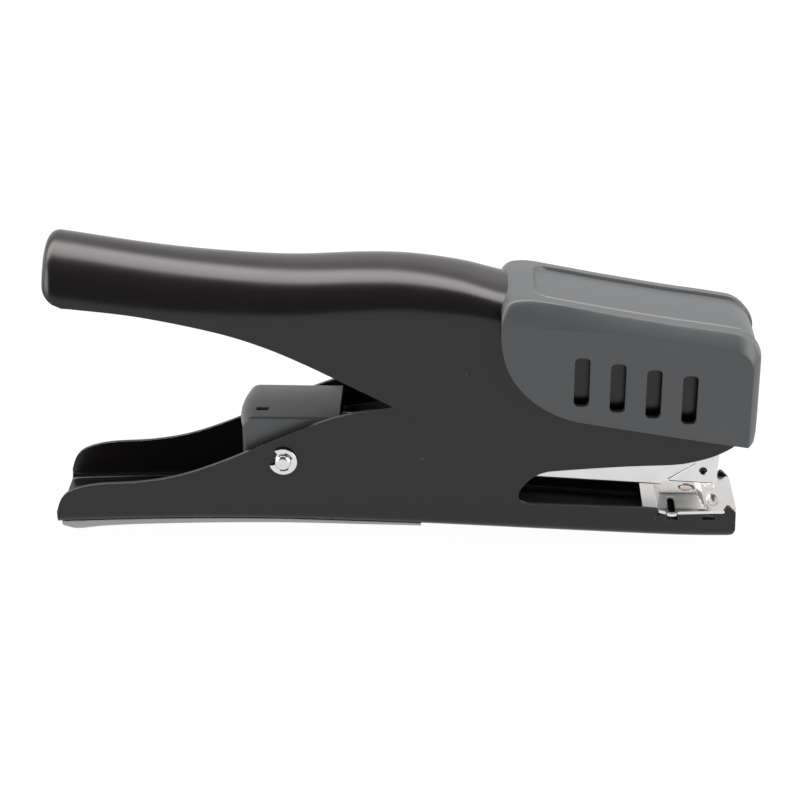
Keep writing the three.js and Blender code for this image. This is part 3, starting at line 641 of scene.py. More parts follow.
# %% Shape the handle
PIN_HOLES = [(79.5, 45, 2.7), (41, 41, 1.7)]      # for the hinge pin and the roller's pin, in both walls
HANDLE = {"sheet": 1.1, "gap": 0.35, "rear": -90, "front": 84.6, "nose": 3.0, "toe": 1.7}
handle_top = heights([(-90, 79), (-86, 78.7), (-65, 75.5), (-46.7, 73.5), (-28.4, 72.5), (-10, 73.1),
                      (2, 72.8),
                      (14.5, 70.9), (24, 68.3), (34, 65.9), (53, 62.2), (67, 59.7), (90, 55.6)])
arch_height = heights([(-90, 14.5), (-70, 14.3), (-30, 12.5), (10, 11), (30, 8.5), (60, 6.5), (90, 6)])
arch_power = heights([(-90, 1), (-60, 0.96), (0, 0.82), (30, 0.7), (90, 0.7)])
handle_edge = heights([(-89.95, 68.9), (-89.6, 67.9), (-88.4, 66.3), (-85.6, 64.3), (-82, 63.9), (-66, 62.1),
                       (-48.2, 58.5),
                       (-36.3, 54.9), (-24.3, 49.7), (-6.3, 40.4), (5, 34.2), (11, 31.2), (16.6, 29.5),
                       (22, 28.8),
                       (32, 28.6), (52, 28.1), (68, 27.5), (78, 27.0), (84, 26.8), (90, 26.8)])


def resampled(points, count):
    """The same path with its points evenly spaced."""
    points = np.array(points)
    walked = distances(points)
    places = np.linspace(0, walked[-1], count)
    return np.column_stack([np.interp(places, walked, axis) for axis in points.T])


def handle_ring(x, steps=44):
    back = max(0, HANDLE["nose"] - (x - HANDLE["rear"]))
    narrowing = HANDLE["nose"] - math.sqrt(max(0, HANDLE["nose"]**2 - back**2))
    half = frame_half_width(x) + HANDLE["gap"] + HANDLE["sheet"] - narrowing
    top, spring, power = handle_top(x) - narrowing, handle_top(x) - arch_height(x), arch_power(x)
    toe = max(0, x - (HANDLE["front"] - HANDLE["toe"]))
    edge = handle_edge(x) + HANDLE["toe"] - math.sqrt(max(0, HANDLE["toe"]**2 - toe**2))
    start = math.asin(max(0, (edge - spring) / (top - spring))**(1 / power))
    side = [(half, edge)] if edge < spring else []
    side += [(half * abs(math.cos(a))**power, spring + (top - spring) * math.sin(a)**power)
             for a in np.linspace(start, math.pi / 2, 90)]
    side[-1] = (0, top)
    side = resampled(side, steps)
    return [(x, -y, z) for y, z in side] + [(x, y, z) for y, z in side[-2::-1]]


def handle_skin():
    skin = Skin()
    nose = HANDLE["rear"] + HANDLE["nose"] * (1 - np.cos(np.linspace(0, math.pi / 2, 9)))
    toe = HANDLE["front"] - HANDLE["toe"] * (1 - np.sin(np.linspace(0, math.pi / 2, 6)))
    xs = [*nose, *along(nose[-1], toe[0], 2.2)[1:], *toe[1:]]
    rings = [handle_ring(x) for x in xs]
    skin.grid(rings)
    skin.faces.append(tuple(range(len(rings[0]))))      # the blunt end of the nose
    return skin


DRILL_LENGTH = 40


def plain_mesh(piece):
    """Keeps what the piece's modifiers make of it, as an ordinary mesh."""
    graph = bpy.context.evaluated_depsgraph_get()
    piece.data = bpy.data.meshes.new_from_object(piece.evaluated_get(graph), depsgraph=graph)
    piece.modifiers.clear()


def bore(piece, holes):
    """Round holes from side to side, cut after the edges are rolled."""
    shape = bmesh.new()
    turned = Matrix.Rotation(math.pi / 2, 4, "X")
    for x, z, radius in holes:
        bmesh.ops.create_cone(shape, cap_ends=True, segments=40, radius1=radius * MM, radius2=radius * MM,
                              depth=DRILL_LENGTH * MM,
                              matrix=Matrix.Translation((x * MM, 0, z * MM)) @ turned)
    drill = bpy.data.objects.new("drill", bpy.data.meshes.new("drill"))
    shape.to_mesh(drill.data)
    shape.free()
    bpy.context.collection.objects.link(drill)
    cut = piece.modifiers.new("bore", "BOOLEAN")
    cut.operation, cut.solver, cut.object = "DIFFERENCE", "EXACT", drill
    piece.modifiers.move(len(piece.modifiers) - 1, len(piece.modifiers) - 2)
    plain_mesh(piece)
    bpy.data.objects.remove(drill)


handle_piece = handle_skin().build("handle_arch")
give_wall(handle_piece, HANDLE["sheet"])
roll_edges(handle_piece, 0.28, sharper_than=65)
bore(handle_piece, PIN_HOLES)
stands_for(handle_piece, "black_paint", "handle_shell")

# %% [markdown]
# ## The head cover
# The cover is one moulding: two flat sides with four air slots each, a wide shoulder that runs
# along the top and down the front corners, and a gently crowned top with a sunk panel. Two
# paths in the side view lay it out: the edge of the top and the edge of the flat side. The
# shoulder is a quarter ellipse from one to the other, and the top spans the two outer paths.

# %% Shape the head cover
COVER = {"rear": 25, "front": 90, "half width": 16.2, "wall": 1.6, "crown": 0.7, "nose": 7, "shoulder": 2.8,
         "rear roll": 3.2, "rear drop": 2.6, "fall": 0.03, "fall from": 34}
PANEL = {"half width": 10.2, "rear": 33.0, "corner": 4.0, "depth": 0.7, "step": 0.6,
         "lip": 0.2, "lip width": 0.6}
VENT = {"rear": 43.5, "pitch": 9.05, "width": 3.9, "height": 13.3, "top": 53.2, "drop": 1.5, "corner": 1.2,
        "count": 4}
cover_top = heights([(20, 69.9), (29, 68.3), (43, 65.7), (53, 63.9), (67, 61.6), (77, 60.2), (84, 59.1),
                     (92, 57.9)])
cover_side = heights([(20, 59.6), (27, 60.1), (34, 60.7), (43, 60.3), (53, 59.9), (62, 58.5), (77, 56.6),
                      (84, 54.9)])
COVER_LOWER_EDGE = [(88, 28.93), (78.2, 30.3), (58.8, 33.3), (48, 35), (43.2, 35.9), (37.9, 38), (33.4, 41),
                    (29.6, 44.9), (27, 49.2), (25.6, 53.8), (25, 58)]


def rounded_loop(x_from, x_to, z_from, z_to, radius, steps=6):
    """A rectangle with round corners, as a closed loop."""
    quarter = math.pi / 2
    corners = [(x_to - radius, z_from + radius, -quarter), (x_to - radius, z_to - radius, 0),
               (x_from + radius, z_to - radius, quarter), (x_from + radius, z_from + radius, math.pi)]
    return [point for x, z, start in corners for point in arc(x, z, radius, start, start + quarter, steps)]


def rear_roll(x):
    """How far the rear end of the top bends down over the handle."""
    behind = max(0, COVER["rear"] + COVER["rear roll"] - x)
    fall = COVER["fall"] * max(0, COVER["fall from"] - x)**2
    return COVER["rear drop"] * (1 - math.sqrt(1 - (behind / COVER["rear roll"])**2)) + fall


COVER_FOOT = {"x": 88, "outer z": 29.6, "inner z": 28.93, "side drop": 5, "tuck": 0.35}


def cover_paths():
    """The edge of the top and the edge of the flat side, point for point, from rear to foot."""
    nose, rear, front = COVER["nose"], COVER["rear"], COVER["front"]
    corner = front - nose
    roll_end = rear + COVER["rear roll"]
    xs = [*(roll_end - COVER["rear roll"] * np.cos(np.linspace(0, math.pi / 2, 9))),
          *along(roll_end, PANEL["rear"] - 1, 1)[1:], *along(PANEL["rear"] - 1, PANEL["rear"] + 6, 0.3)[1:],
          *along(PANEL["rear"] + 6, corner, 2)[1:]]
    outer = [(x, float(cover_top(x)) - rear_roll(x)) for x in xs]
    inner = [(rear + (x - rear) * (corner - 0.5 - rear) / (corner - rear), float(cover_side(x))) for x in xs]
    in_x, in_z = inner[-1]
    for a in np.linspace(0, math.pi / 2, 14)[1:]:
        x = corner + nose * math.sin(a)
        outer.append((x, float(cover_top(x)) - nose * (1 - math.cos(a))))
        inner.append((in_x + (COVER_FOOT["x"] - in_x) * math.sin(a),
                      in_z - COVER_FOOT["side drop"] * (1 - math.cos(a))))
    (out_x, out_z), (in_x, in_z) = outer[-1], inner[-1]
    for share in np.linspace(0, 1, 9)[1:]:
        tuck = COVER_FOOT["tuck"] * max(0, share - 0.85) / 0.15
        outer.append((out_x - tuck, out_z + (COVER_FOOT["outer z"] - out_z) * share))
        inner.append((in_x, in_z + (COVER_FOOT["inner z"] - in_z) * share))
    return np.array(outer), np.array(inner)


def panel_sink(travel, y):
    """How deep the top's sunk panel lies, `travel` along the top and y across it."""
    corner = PANEL["corner"]
    across, behind = PANEL["half width"] - abs(y), travel
    inside = min(across, behind)
    if across < corner and behind < corner:
        inside = corner - math.hypot(corner - across, corner - behind)
    share = np.clip(inside / PANEL["step"], 0, 1)
    lip = PANEL["lip"] * (math.exp(-(inside / PANEL["lip width"])**2 * 2.0) if inside < 0 else 1 - share)
    return PANEL["depth"] * share**2 * (3 - 2 * share) - lip


def cover_skin():
    skin = Skin()
    outer, inner = cover_paths()
    shoulder, crown = COVER["shoulder"], COVER["crown"]
    flat = COVER["half width"] - shoulder
    outward = outward_normals(outer)
    walked = distances(outer)
    travels = walked - np.interp(PANEL["rear"], outer[:, 0], walked)
    edge = PANEL["half width"]
    spread = [*along(flat, edge + 0.9, 0.8), *along(edge + 0.9, edge - 1.2, 0.2)[1:],
              *along(edge - 1.2, 6, 0.45)[1:],
              *along(6, 0, 1.5)[1:]]
    across = [-y for y in spread] + spread[-2::-1]
    rings = []
    for top, side, normal, travel in zip(outer, inner, outward, travels):
        bow = np.interp(top[0], (COVER["rear"] + 2, COVER["rear"] + 14),
                        (1.0, 1.7))    # 1 is round, 2 is flat
        quarter = [(side + (top - side) * math.sin(a)**bow,
                    COVER["half width"] - shoulder * (1 - math.cos(a)**bow))
                   for a in np.linspace(0, math.pi / 2, 15)[:-1]]
        middle = [(top + normal * (crown * (1 - (y / flat)**2) - panel_sink(travel, y)), y) for y in across]
        rings.append(moulded_ring(quarter, middle))
    skin.grid(rings)
    outline = [tuple(point) for point in inner] + smooth(COVER_LOWER_EDGE, 5)[1:]
    vents = []
    for i in range(VENT["count"]):
        rear, top = VENT["rear"] + i * VENT["pitch"], VENT["top"] - i * VENT["drop"]
        vents.append(rounded_loop(rear, rear + VENT["width"], top - VENT["height"], top, VENT["corner"]))
    skin.walls(outline, vents, COVER["half width"])
    return skin


def weigh_edges(piece, share_of):
    """Gives each sharp edge its own share of the rolled radius; share_of takes its middle, in mm."""
    shape = bmesh.new()
    shape.from_mesh(piece.data)
    weights = shape.edges.layers.float.new("bevel_weight_edge")
    for edge in shape.edges:
        sharp = len(edge.link_faces) == 2 and edge.calc_face_angle() > math.radians(50)
        edge[weights] = share_of((edge.verts[0].co + edge.verts[1].co) / (2 * MM)) if sharp else 0
    shape.to_mesh(piece.data)
    shape.free()


SLOTS = {"front": 76, "low": 34, "high": 54}
INNER_SHARE = 0.35


def cover_edge_share(middle):
    """The air slots and the inner edges are rolled less than the outer rim."""
    x, y, z = middle
    in_slots = VENT["rear"] - 1 < x < SLOTS["front"] and SLOTS["low"] < z < SLOTS["high"]
    inner = abs(y) < COVER["half width"] - 0.5 and z < cover_top(x) - 4
    return INNER_SHARE if in_slots or inner else 1.0


cover_piece = cover_skin().build("moulded_cover")
give_wall(cover_piece, COVER["wall"])
plain_mesh(cover_piece)
weigh_edges(cover_piece, cover_edge_share)
roll_edges(cover_piece, 0.85, segments=4)
cover_piece.modifiers["rolled edges"].limit_method = "WEIGHT"
stands_for(cover_piece, "grey_plastic", "head_cover")

# %% [markdown]
# ## The base grip
# A pale moulded pad is clipped under the rear half of the frame, where the fingers press. It is
# a closed shape: each ring goes round its outside, then back along the frame with a small gap.

# %% Shape the base grip
GRIP = {"rear": -88.8, "front": 5.2, "inset": 0.8, "lip": 0.3, "corner": 2.6, "gap": 0.05, "fine to": -82}
grip_bottom = heights([(-89, 1.6), (-87, 0.5), (-85.6, 0), (-83.8, 0), (-82, 0.3), (-78, 1), (-68, 1.8),
                       (-50, 2.6),
                       (-31, 3.1), (-12, 3), (6, 2.7)])


def trough_side(half, bottom, top, corner, steps=6):
    """Half a trough's section, from its far upper edge to the middle of its floor."""
    turn = np.linspace(0, math.pi / 2, steps)
    bend = [(half - corner + corner * math.cos(a), bottom + corner - corner * math.sin(a)) for a in turn]
    return [(half, top)] + bend


def under_frame(x, gap):
    """Half of the frame's underside, from near the grip's lip to the middle, a small gap below it."""
    bend = FRAME["bend"]
    middle = frame_half_width(x) - bend
    end = math.asin((bend - GRIP["inset"] - GRIP["lip"]) / (bend + gap))
    return [(middle + (bend + gap) * math.sin(a), frame_bottom(x) + bend - (bend + gap) * math.cos(a))
            for a in np.linspace(end, 0, 6)]


def grip_skin():
    skin = Skin()
    rings = []
    for x in [*along(GRIP["rear"], GRIP["fine to"], 0.7), *along(GRIP["fine to"], GRIP["front"], 3)[1:]]:
        inner = under_frame(x, GRIP["gap"])
        half, top = frame_half_width(x) - GRIP["inset"], inner[0][1]
        corner = min(GRIP["corner"], 0.8 * (top - grip_bottom(x)))
        outer = trough_side(half, grip_bottom(x), top, corner)
        ring = both_halves(outer)
        ring += [(-y, z) for y, z in inner] + inner[::-1]
        rings.append([(x, y, z) for y, z in ring + ring[:1]])
    skin.grid(rings)
    count = len(rings[0])
    skin.faces.append(tuple(range(count - 1)))
    last = len(skin.points) - count
    skin.faces.append(tuple(last + i for i in range(count - 1))[::-1])
    return skin


grip_piece = grip_skin().build("base_pad")
roll_edges(grip_piece, 0.15, sharper_than=40)
stands_for(grip_piece, "pale_plastic", "base_grip")

# %% [markdown]
# ## The tray's cap
# The cap closes the rear of the staple tray, and a thumb pulls it out. It is made like the
# cover: two flat sides, a narrow rolled shoulder and a top that runs over into the rear wall,
# which swells a little. A slit in the top is where its latch was moulded.

# %% Shape the tray's cap
CAP = {"rear": -40.8, "front": -16, "top": 32.9, "half width": 10.4, "wall": 1.3, "foot": 13.5, "skirt": 26.2,
       "shoulder": 0.65, "roll": 3.0, "swell": 1.2, "crown": 0.25, "set in": 0.3, "step": 5.6}
LATCH_SLIT = {"x": (-37.6, -34.4), "y": (-6.2, -4.4)}


def cap_paths():
    rear, top, roll, inset = CAP["rear"], CAP["top"], CAP["roll"], CAP["shoulder"]
    outer = [(rear + CAP["set in"], z) for z in along(CAP["foot"], top - roll, 1.5)[:-1]]
    outer += arc(rear + roll, top - roll, roll, math.pi, math.pi / 2, 10)
    slit_start, slit_end = LATCH_SLIT["x"]
    xs = [slit_start, *along(slit_start, slit_end, 1)[1:], *along(slit_end, CAP["front"], 2)[1:]]
    outer += [(x, top) for x in xs]
    inner = [(rear + CAP["set in"] + inset, z) for z in along(CAP["foot"], top - roll, 1.5)[:-1]]
    inner += arc(rear + roll, top - roll, roll - inset, math.pi, math.pi / 2, 10)
    inner += [(x, top - inset) for x in xs]
    return np.array(outer), np.array(inner)


def in_slit(skin, face):
    x, y, z = np.mean([skin.points[i] for i in face], axis=0)
    (x_from, x_to), (y_from, y_to) = LATCH_SLIT["x"], LATCH_SLIT["y"]
    return x_from < x < x_to and y_from < y < y_to and z > CAP["top"] - 1


def cap_skin():
    skin = Skin()
    outer, inner = cap_paths()
    flat = CAP["half width"] - CAP["shoulder"]
    outward = outward_normals(outer)
    across = [*along(-flat, LATCH_SLIT["y"][0], 1), *LATCH_SLIT["y"][1:],
              *along(LATCH_SLIT["y"][1], flat, 1)[1:]]
    rings = []
    for top, side, normal in zip(outer, inner, outward):
        crown = CAP["crown"] + (CAP["swell"] - CAP["crown"]) * max(0, -normal[0])**2
        quarter = [(side + (top - side) * math.sin(a),
                    CAP["half width"] - CAP["shoulder"] * (1 - math.cos(a)))
                   for a in np.linspace(0, math.pi / 2, 7)[:-1]]
        middle = [(top + normal * crown * (1 - (y / flat)**2), y) for y in across]
        rings.append(moulded_ring(quarter, middle))
    skin.grid(rings)
    skin.faces = [face for face in skin.faces if not in_slit(skin, face)]
    step = CAP["rear"] + CAP["step"]
    outline = [tuple(point) for point in inner]
    outline += [(CAP["front"], CAP["skirt"]), (step, CAP["skirt"]), (step, CAP["foot"])]
    skin.walls(outline, [], CAP["half width"])
    return skin


cap_piece = cap_skin().build("pull_cap")
give_wall(cap_piece, CAP["wall"])
roll_edges(cap_piece, 0.18, sharper_than=55)
stands_for(cap_piece, "grey_plastic", "tray_cap")

# %% [markdown]
# ## Studs and snap clips
# The magazine hangs on two studs, one in each wall, and a snap clip holds each from outside.
# One of each is shaped, and a small Geometry Nodes tree turns it about the upright axis for
# the other side. The tree instances its input on two points and makes the copies real.

# %% Node trees for repeated pieces
def new_tree(name, **inputs):
    """An empty Geometry Nodes tree with named inputs; returns it and its input sockets."""
    tree = bpy.data.node_groups.new(name, "GeometryNodeTree")
    tree.interface.new_socket("Geometry", in_out="INPUT", socket_type="NodeSocketGeometry")
    for label, kind in inputs.items():
        tree.interface.new_socket(label, in_out="INPUT", socket_type=kind)
    tree.interface.new_socket("Geometry", in_out="OUTPUT", socket_type="NodeSocketGeometry")
    sockets = tree.nodes.new("NodeGroupInput").outputs
    return tree, {socket.name: Value(tree, socket) for socket in sockets if socket.name}


def end_tree(tree, geometry, finish):
    """Makes the copies real, gives them their finish and closes the tree."""
    real = make(tree, "GeometryNodeRealizeInstances", sockets={"Geometry": geometry})
    finished = make(tree, "GeometryNodeSetMaterial", sockets={"Geometry": real, "Material": finish})
    make(tree, "NodeGroupOutput", sockets={0: finished})


def run_tree(piece, tree, **inputs):
    """Sets the tree's inputs by their identifiers, runs it and keeps the plain mesh."""
    modifier = piece.modifiers.new(tree.name, "NODES")
    modifier.node_group = tree
    for item in tree.interface.items_tree:
        if item.in_out == "INPUT" and item.name in inputs:
            modifier[item.identifier] = inputs[item.name]
    plain_mesh(piece)
    for face in piece.data.polygons:
        face.use_smooth = True


def facing_pair_tree():
    tree, given = new_tree("facing pair", Pivot="NodeSocketVector", Finish="NodeSocketMaterial")
    points = make(tree, "GeometryNodePoints", sockets={"Count": 2, "Position": given["Pivot"]})
    half_turn = make(tree, "GeometryNodeInputIndex") * math.pi
    turned = make(tree, "ShaderNodeCombineXYZ", sockets={"Z": half_turn})
    copies = {"Points": points, "Instance": given["Geometry"], "Rotation": turned}
    end_tree(tree, make(tree, "GeometryNodeInstanceOnPoints", sockets=copies), given["Finish"])
    return tree


facing_pair = facing_pair_tree()
print("node tree:", facing_pair.name, "with", len(facing_pair.nodes), "nodes")

# %% Shape the studs and clips
STUD_PROFILE = [(0, 7.0), (1.6, 7.0), (1.6, 8.2), (3, 8.2), (3, 10.5), (2.1, 10.5), (2.1, 13.2), (1.5, 13.2),
                (1.5, 14.0), (2.1, 14.0), (2.1, 14.2), (2.0, 14.5), (1.75, 14.75), (1.35, 14.93), (0.9, 15.0),
                (0.45, 14.95), (0, 14.85)]
CLIP = {"outer": 3.65, "inner": 1.75, "relief": 2.55, "thickness": 0.6, "half mouth": 0.66, "mouth": 2.83}
CLIP_PLACE = 13.9                    # outer face, from the middle of the tool


def turned_skin(profile, side=-1, steps=40):
    """A round piece along Y; the profile gives radii and distances from the middle."""
    skin = Skin()
    turn = np.linspace(0, 2 * math.pi, steps + 1) * side
    skin.grid([[(radius * math.cos(a), side * y, radius * math.sin(a)) for a in turn] for radius,
               y in profile])
    return skin


def clip_loop():
    """A snap ring: a round outside with a mouth, and three prongs that grip the stud."""
    start, end = CLIP["mouth"] + CLIP["half mouth"], CLIP["mouth"] + 2 * math.pi - CLIP["half mouth"]
    loop = arc(0, 0, CLIP["outer"], start, end, 48)
    shares = [0, 0.17, 0.37, 0.63, 0.83, 1]
    for i, (from_share, to_share) in enumerate(zip(shares, shares[1:])):
        radius = CLIP["relief"] if i % 2 else CLIP["inner"]
        loop += arc(0, 0, radius, end - (end - start) * from_share, end - (end - start) * to_share, 12)
    return loop


pivot_point = [PIVOT[0] * MM, 0, PIVOT[1] * MM]
studs = turned_skin(STUD_PROFILE).build("pivot_studs")
roll_edges(studs, 0.12, sharper_than=60)
clip_skin = Skin()
clip_skin.panel(clip_loop(), [], lambda x, z: (x, -CLIP_PLACE, z))
clips = clip_skin.build("snap_clips")
give_wall(clips, CLIP["thickness"])
roll_edges(clips, 0.14, segments=3)
for piece, nodes in ((studs, ("rear_stud_near", "rear_stud_far")),
                     (clips, ("rear_clip_near", "rear_clip_far"))):
    run_tree(piece, facing_pair, Pivot=pivot_point, Finish=finishes["nickel"])
    stands_for(piece, "nickel", *nodes)

# %% [markdown]
# ## Coil springs
# Two springs are wound from round wire: a strong one under the handle and a long thin one that
# feeds the staples. A helix is the plainest path rule, so one tree winds both: a spiral curve,
# a circle swept along it, and a turn into place.

# %% Wind the springs
MAGAZINE_TILT = math.radians(2.9)


def spring_tree():
    sizes = {label: "NodeSocketFloat" for label in ("Turns", "Radius", "Wire", "Length")}
    tree, given = new_tree("coil spring", **sizes, Foot="NodeSocketVector", Turn="NodeSocketVector",
                           Finish="NodeSocketMaterial")
    spiral = {"Resolution": 28, "Rotations": given["Turns"], "Start Radius": given["Radius"],
              "End Radius": given["Radius"], "Height": given["Length"]}
    helix = make(tree, "GeometryNodeCurveSpiral", sockets=spiral)
    section = make(tree, "GeometryNodeCurvePrimitiveCircle",
                   sockets={"Resolution": 8, "Radius": given["Wire"]})
    swept = {"Curve": helix, "Profile Curve": section, "Fill Caps": True}
    wire = make(tree, "GeometryNodeCurveToMesh", sockets=swept)
    place = {"Geometry": wire, "Translation": given["Foot"], "Rotation": given["Turn"]}
    end_tree(tree, make(tree, "GeometryNodeTransform", sockets=place), given["Finish"])
    return tree


def wind_spring(name, node, turns, radius, wire, foot, head, turn):
    spring = Skin().build(name)
    length = (Vector(head) - Vector(foot)).length
    run_tree(spring, coil_spring, Turns=float(turns), Radius=radius * MM, Wire=wire * MM, Length=length * MM,
             Foot=[part * MM for part in foot], Turn=list(turn), Finish=finishes["spring_steel"])
    stands_for(spring, "spring_steel", node)
    return spring


def along_magazine(travel, rise=0.0):
    """A point of the magazine's own tilted frame, in the tool's frame."""
    cosine, sine = math.cos(MAGAZINE_TILT), math.sin(MAGAZINE_TILT)
    return (PIVOT[0] + travel * cosine + rise * sine, 0, PIVOT[1] - travel * sine + rise * cosine)


coil_spring = spring_tree()
SEAT = (20, 41.5)
RETURN_WIRE = 0.6
return_foot = (SEAT[0], 0, SEAT[1] + 0.3 + RETURN_WIRE)
return_head = (SEAT[0], 0, float(handle_top(SEAT[0])) - HANDLE["sheet"] - 2 - RETURN_WIRE)
return_spring = wind_spring("handle_spring", "return_spring", 6, 4.6, RETURN_WIRE, return_foot, return_head,
                            (0, 0, 0))
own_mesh(return_spring)
feed_foot, feed_head = along_magazine(-6.2), along_magazine(98.9)
feed_turn = (0, math.pi / 2 + MAGAZINE_TILT, 0)
feed_spring = wind_spring("staple_feed_spring", "feed_spring", 30, 1.5, 0.25, feed_foot, feed_head, feed_turn)
[part * MM for part in feed_head]
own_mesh(feed_spring)

# %% [markdown]
# A leaf spring lifts the magazine off the anvil.

# %% Bend the leaf spring
LEAF = {"half width": 4, "sheet": 0.6, "foot": (-8, 5.7), "keep": 0.72}
leaf_line = smooth([(-24, 6.3), (-8, 6), (-0.2, 7), (13.7, 12.4), (19.6, 15.3), (23, 15.4)], 5)
leaf_skin = Skin()
leaf_skin.grid([[(x, -LEAF["half width"], z), (x, LEAF["half width"], z)] for x, z in leaf_line])
leaf = leaf_skin.build("magazine_leaf")
give_wall(leaf, LEAF["sheet"])
roll_edges(leaf, 0.1)
plain_mesh(leaf)
stands_for(leaf, "spring_steel", "magazine_spring")
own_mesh(leaf)

# %% [markdown]
# ## The jaw's pressed parts
# The anvil is a nickel-plated pressing: a plate with a raised middle, two ears with slots and
# two oval grooves that curl the staple's legs. Its face is a height over a plan, so the plan is
# triangulated with its outline, its holes and a fine lattice, and each point is lifted to the
# height of the pressing there. The flanks of the raised middle are scuffed, and the front one
# has a painted dark reflection on its near half, which two point attributes tell the nickel.

# %% Shape the anvil
ANVIL = {"rear": 62.8, "front": 87, "top": 8.0, "sheet": 0.8, "plateau": 9.3, "tongue": 9.3, "rim": 10.6}
RECESS = (66.7, 83.7)
EAR = {"x": 70.2, "y": 11.0, "radius": 1.7, "slot": 0.95, "slot start": 5.6}
GROOVE = {"x": 81.2, "y": 4.5, "half width": 1.5, "half length": 3.4, "depth": 0.8}
RIVET = {"x": 74.8, "hole": 2.15}
PLATEAU_FOOT = (66.4, 79.1, 9.7)
PLATEAU_TOP = (67.5, 77.1, 3.2)


def anvil_outline():
    """Half of the plan, on the near side, from the rear middle to the front middle."""
    ear = arc(EAR["x"], -EAR["y"], EAR["radius"], math.pi + 0.25, 2 * math.pi - 0.25, 14)
    near = [(ANVIL["rear"], -ANVIL["tongue"]), (RECESS[0], -ANVIL["tongue"]), (RECESS[0], -ANVIL["rim"]),
            *ear,
            (RECESS[1], -ANVIL["rim"]), (RECESS[1], -ANVIL["tongue"]),
            (ANVIL["front"] - 0.8, -ANVIL["tongue"]),
            (ANVIL["front"], -ANVIL["tongue"] + 0.8)]
    return both_sides(near)


def anvil_height(x, y):
    """The pressed face's height, whether the point is on a flank, and whether it gets the front flank's
    painted dark reflection.
    """
    rear, front, side = PLATEAU_FOOT
    top_rear, top_front, top_side = PLATEAU_TOP
    ramps = ((x - rear) / (top_rear - rear), (front - x) / (front - top_front),
             (side - abs(y)) / (side - top_side))
    share = np.clip(min(ramps), 0, 1)
    height = ANVIL["top"] + (ANVIL["plateau"] - ANVIL["top"]) * share
    reach = math.hypot((x - GROOVE["x"]) / GROOVE["half width"],
                       (abs(y) - GROOVE["y"]) / GROOVE["half length"])
    if reach < 1:
        height -= GROOVE["depth"] * (1 - reach**2)**0.7
    on_flank = 0.02 < share < 0.93
    return height, float(on_flank), float(on_flank and ramps[1] < min(ramps[0], ramps[2]) and y < 0)


def ear_slot(side):
    start, end = sorted((side * EAR["slot start"], side * EAR["y"]))
    x, half = EAR["x"], EAR["slot"]
    return arc(x, start, half, math.pi, 2 * math.pi, 10) + arc(x, end, half, 0, math.pi, 10)


def ellipse(x, y, half_width, half_length, steps=30):
    return [(x + half_width * math.cos(a), y + half_length * math.sin(a))
            for a in np.linspace(0, 2 * math.pi, steps, endpoint=False)]


def anvil_piece():
    outline = anvil_outline()
    holes = [ear_slot(-1), ear_slot(1), round_hole(RIVET["x"], 0, RIVET["hole"], turn=1.95)]
    rings = [ellipse(GROOVE["x"], side * GROOVE["y"], GROOVE["half width"] * share,
                     GROOVE["half length"] * share)
             for side in (-1, 1) for share in (1.02, 0.97, 0.85, 0.65, 0.4)]
    for rear, front, side in (PLATEAU_FOOT, PLATEAU_TOP):
        rings.append([(x, y) for x, y in ((rear, -side), (front, -side), (front, side), (rear, side))])
    flat, edges = [], []
    for loop in [outline, *holes, *rings]:
        edges += [(len(flat) + i, len(flat) + (i + 1) % len(loop)) for i in range(len(loop))]
        flat += [Vector(point) for point in loop]
    lattice = [Vector((x, y)) for x in along(ANVIL["rear"], ANVIL["front"], 0.5) for y in along(-12.4, 12.4,
                                                                                                0.5)]
    flat += [point for point in lattice if is_inside(point, outline)]
    points, _, triangles, *_ = delaunay_2d_cdt(flat, edges, [], 0, 1e-6)
    skin = Skin()
    skin.points = [(x, y, anvil_height(x, y)[0]) for x, y in points]
    for face in triangles:
        middle = sum((points[i] for i in face), Vector((0, 0))) / 3
        if is_inside(middle, outline) and not any(is_inside(middle, hole) for hole in holes):
            skin.faces.append(face)
    piece = skin.build("pressed_anvil", merge=0.0005)
    loose = bmesh.new()
    loose.from_mesh(piece.data)
    bmesh.ops.delete(loose, geom=[vert for vert in loose.verts if not vert.link_faces], context="VERTS")
    loose.to_mesh(piece.data)
    loose.free()
    states = [anvil_height(*(vert.co.xy / MM)) for vert in piece.data.vertices]
    # "worn" scuffs the flanks; "painted_shade" paints a dark reflection on the near half of the front flank
    for name, place in (("worn", 1), ("painted_shade", 2)):
        layer = piece.data.attributes.new(name, "FLOAT", "POINT")
        layer.data.foreach_set("value", [state[place] for state in states])
    return piece


anvil = anvil_piece()
give_wall(anvil, ANVIL["sheet"])
roll_edges(anvil, 0.15, sharper_than=60)
stands_for(anvil, "nickel", "anvil_plate")

# %% [markdown]
# A copper-washed rivet holds the anvil to its bridge, a flat strip with a short tab on each
# side, which stops short of the frame's wall. Both have rolled edges.

# %% Shape the rivet and the bridge
RIVET_PROFILE = [(0, 4.7), (2.2, 4.75), (2.35, 4.95), (2.35, 5.3), (1.2, 5.3), (1.2, 7.7), (1.72, 7.7),
                 (1.72, 9.0),
                 (1.65, 9.1), (1.5, 9.13), (1, 9.14), (0.5, 9.15), (0, 9.15)]
BRIDGE = {"rear": 72, "front": 82.5, "half width": 9.1, "tab reach": 9.4, "top": 6.2, "sheet": 0.9}
TABS = ((78.5, 81.1),)


def upright(points):
    """Turns points about X, so that a piece turned along Y stands along Z."""
    return [[x, -z, y] for x, y, z in points]


rivet_skin = turned_skin(RIVET_PROFILE, side=1)
rivet_skin.points = [[x + RIVET["x"], y, z] for x, y, z in upright(rivet_skin.points)]
rivet = rivet_skin.build("anvil_rivet_head")
roll_edges(rivet, 0.08, sharper_than=60)
stands_for(rivet, "coppered_rivet", "anvil_rivet")

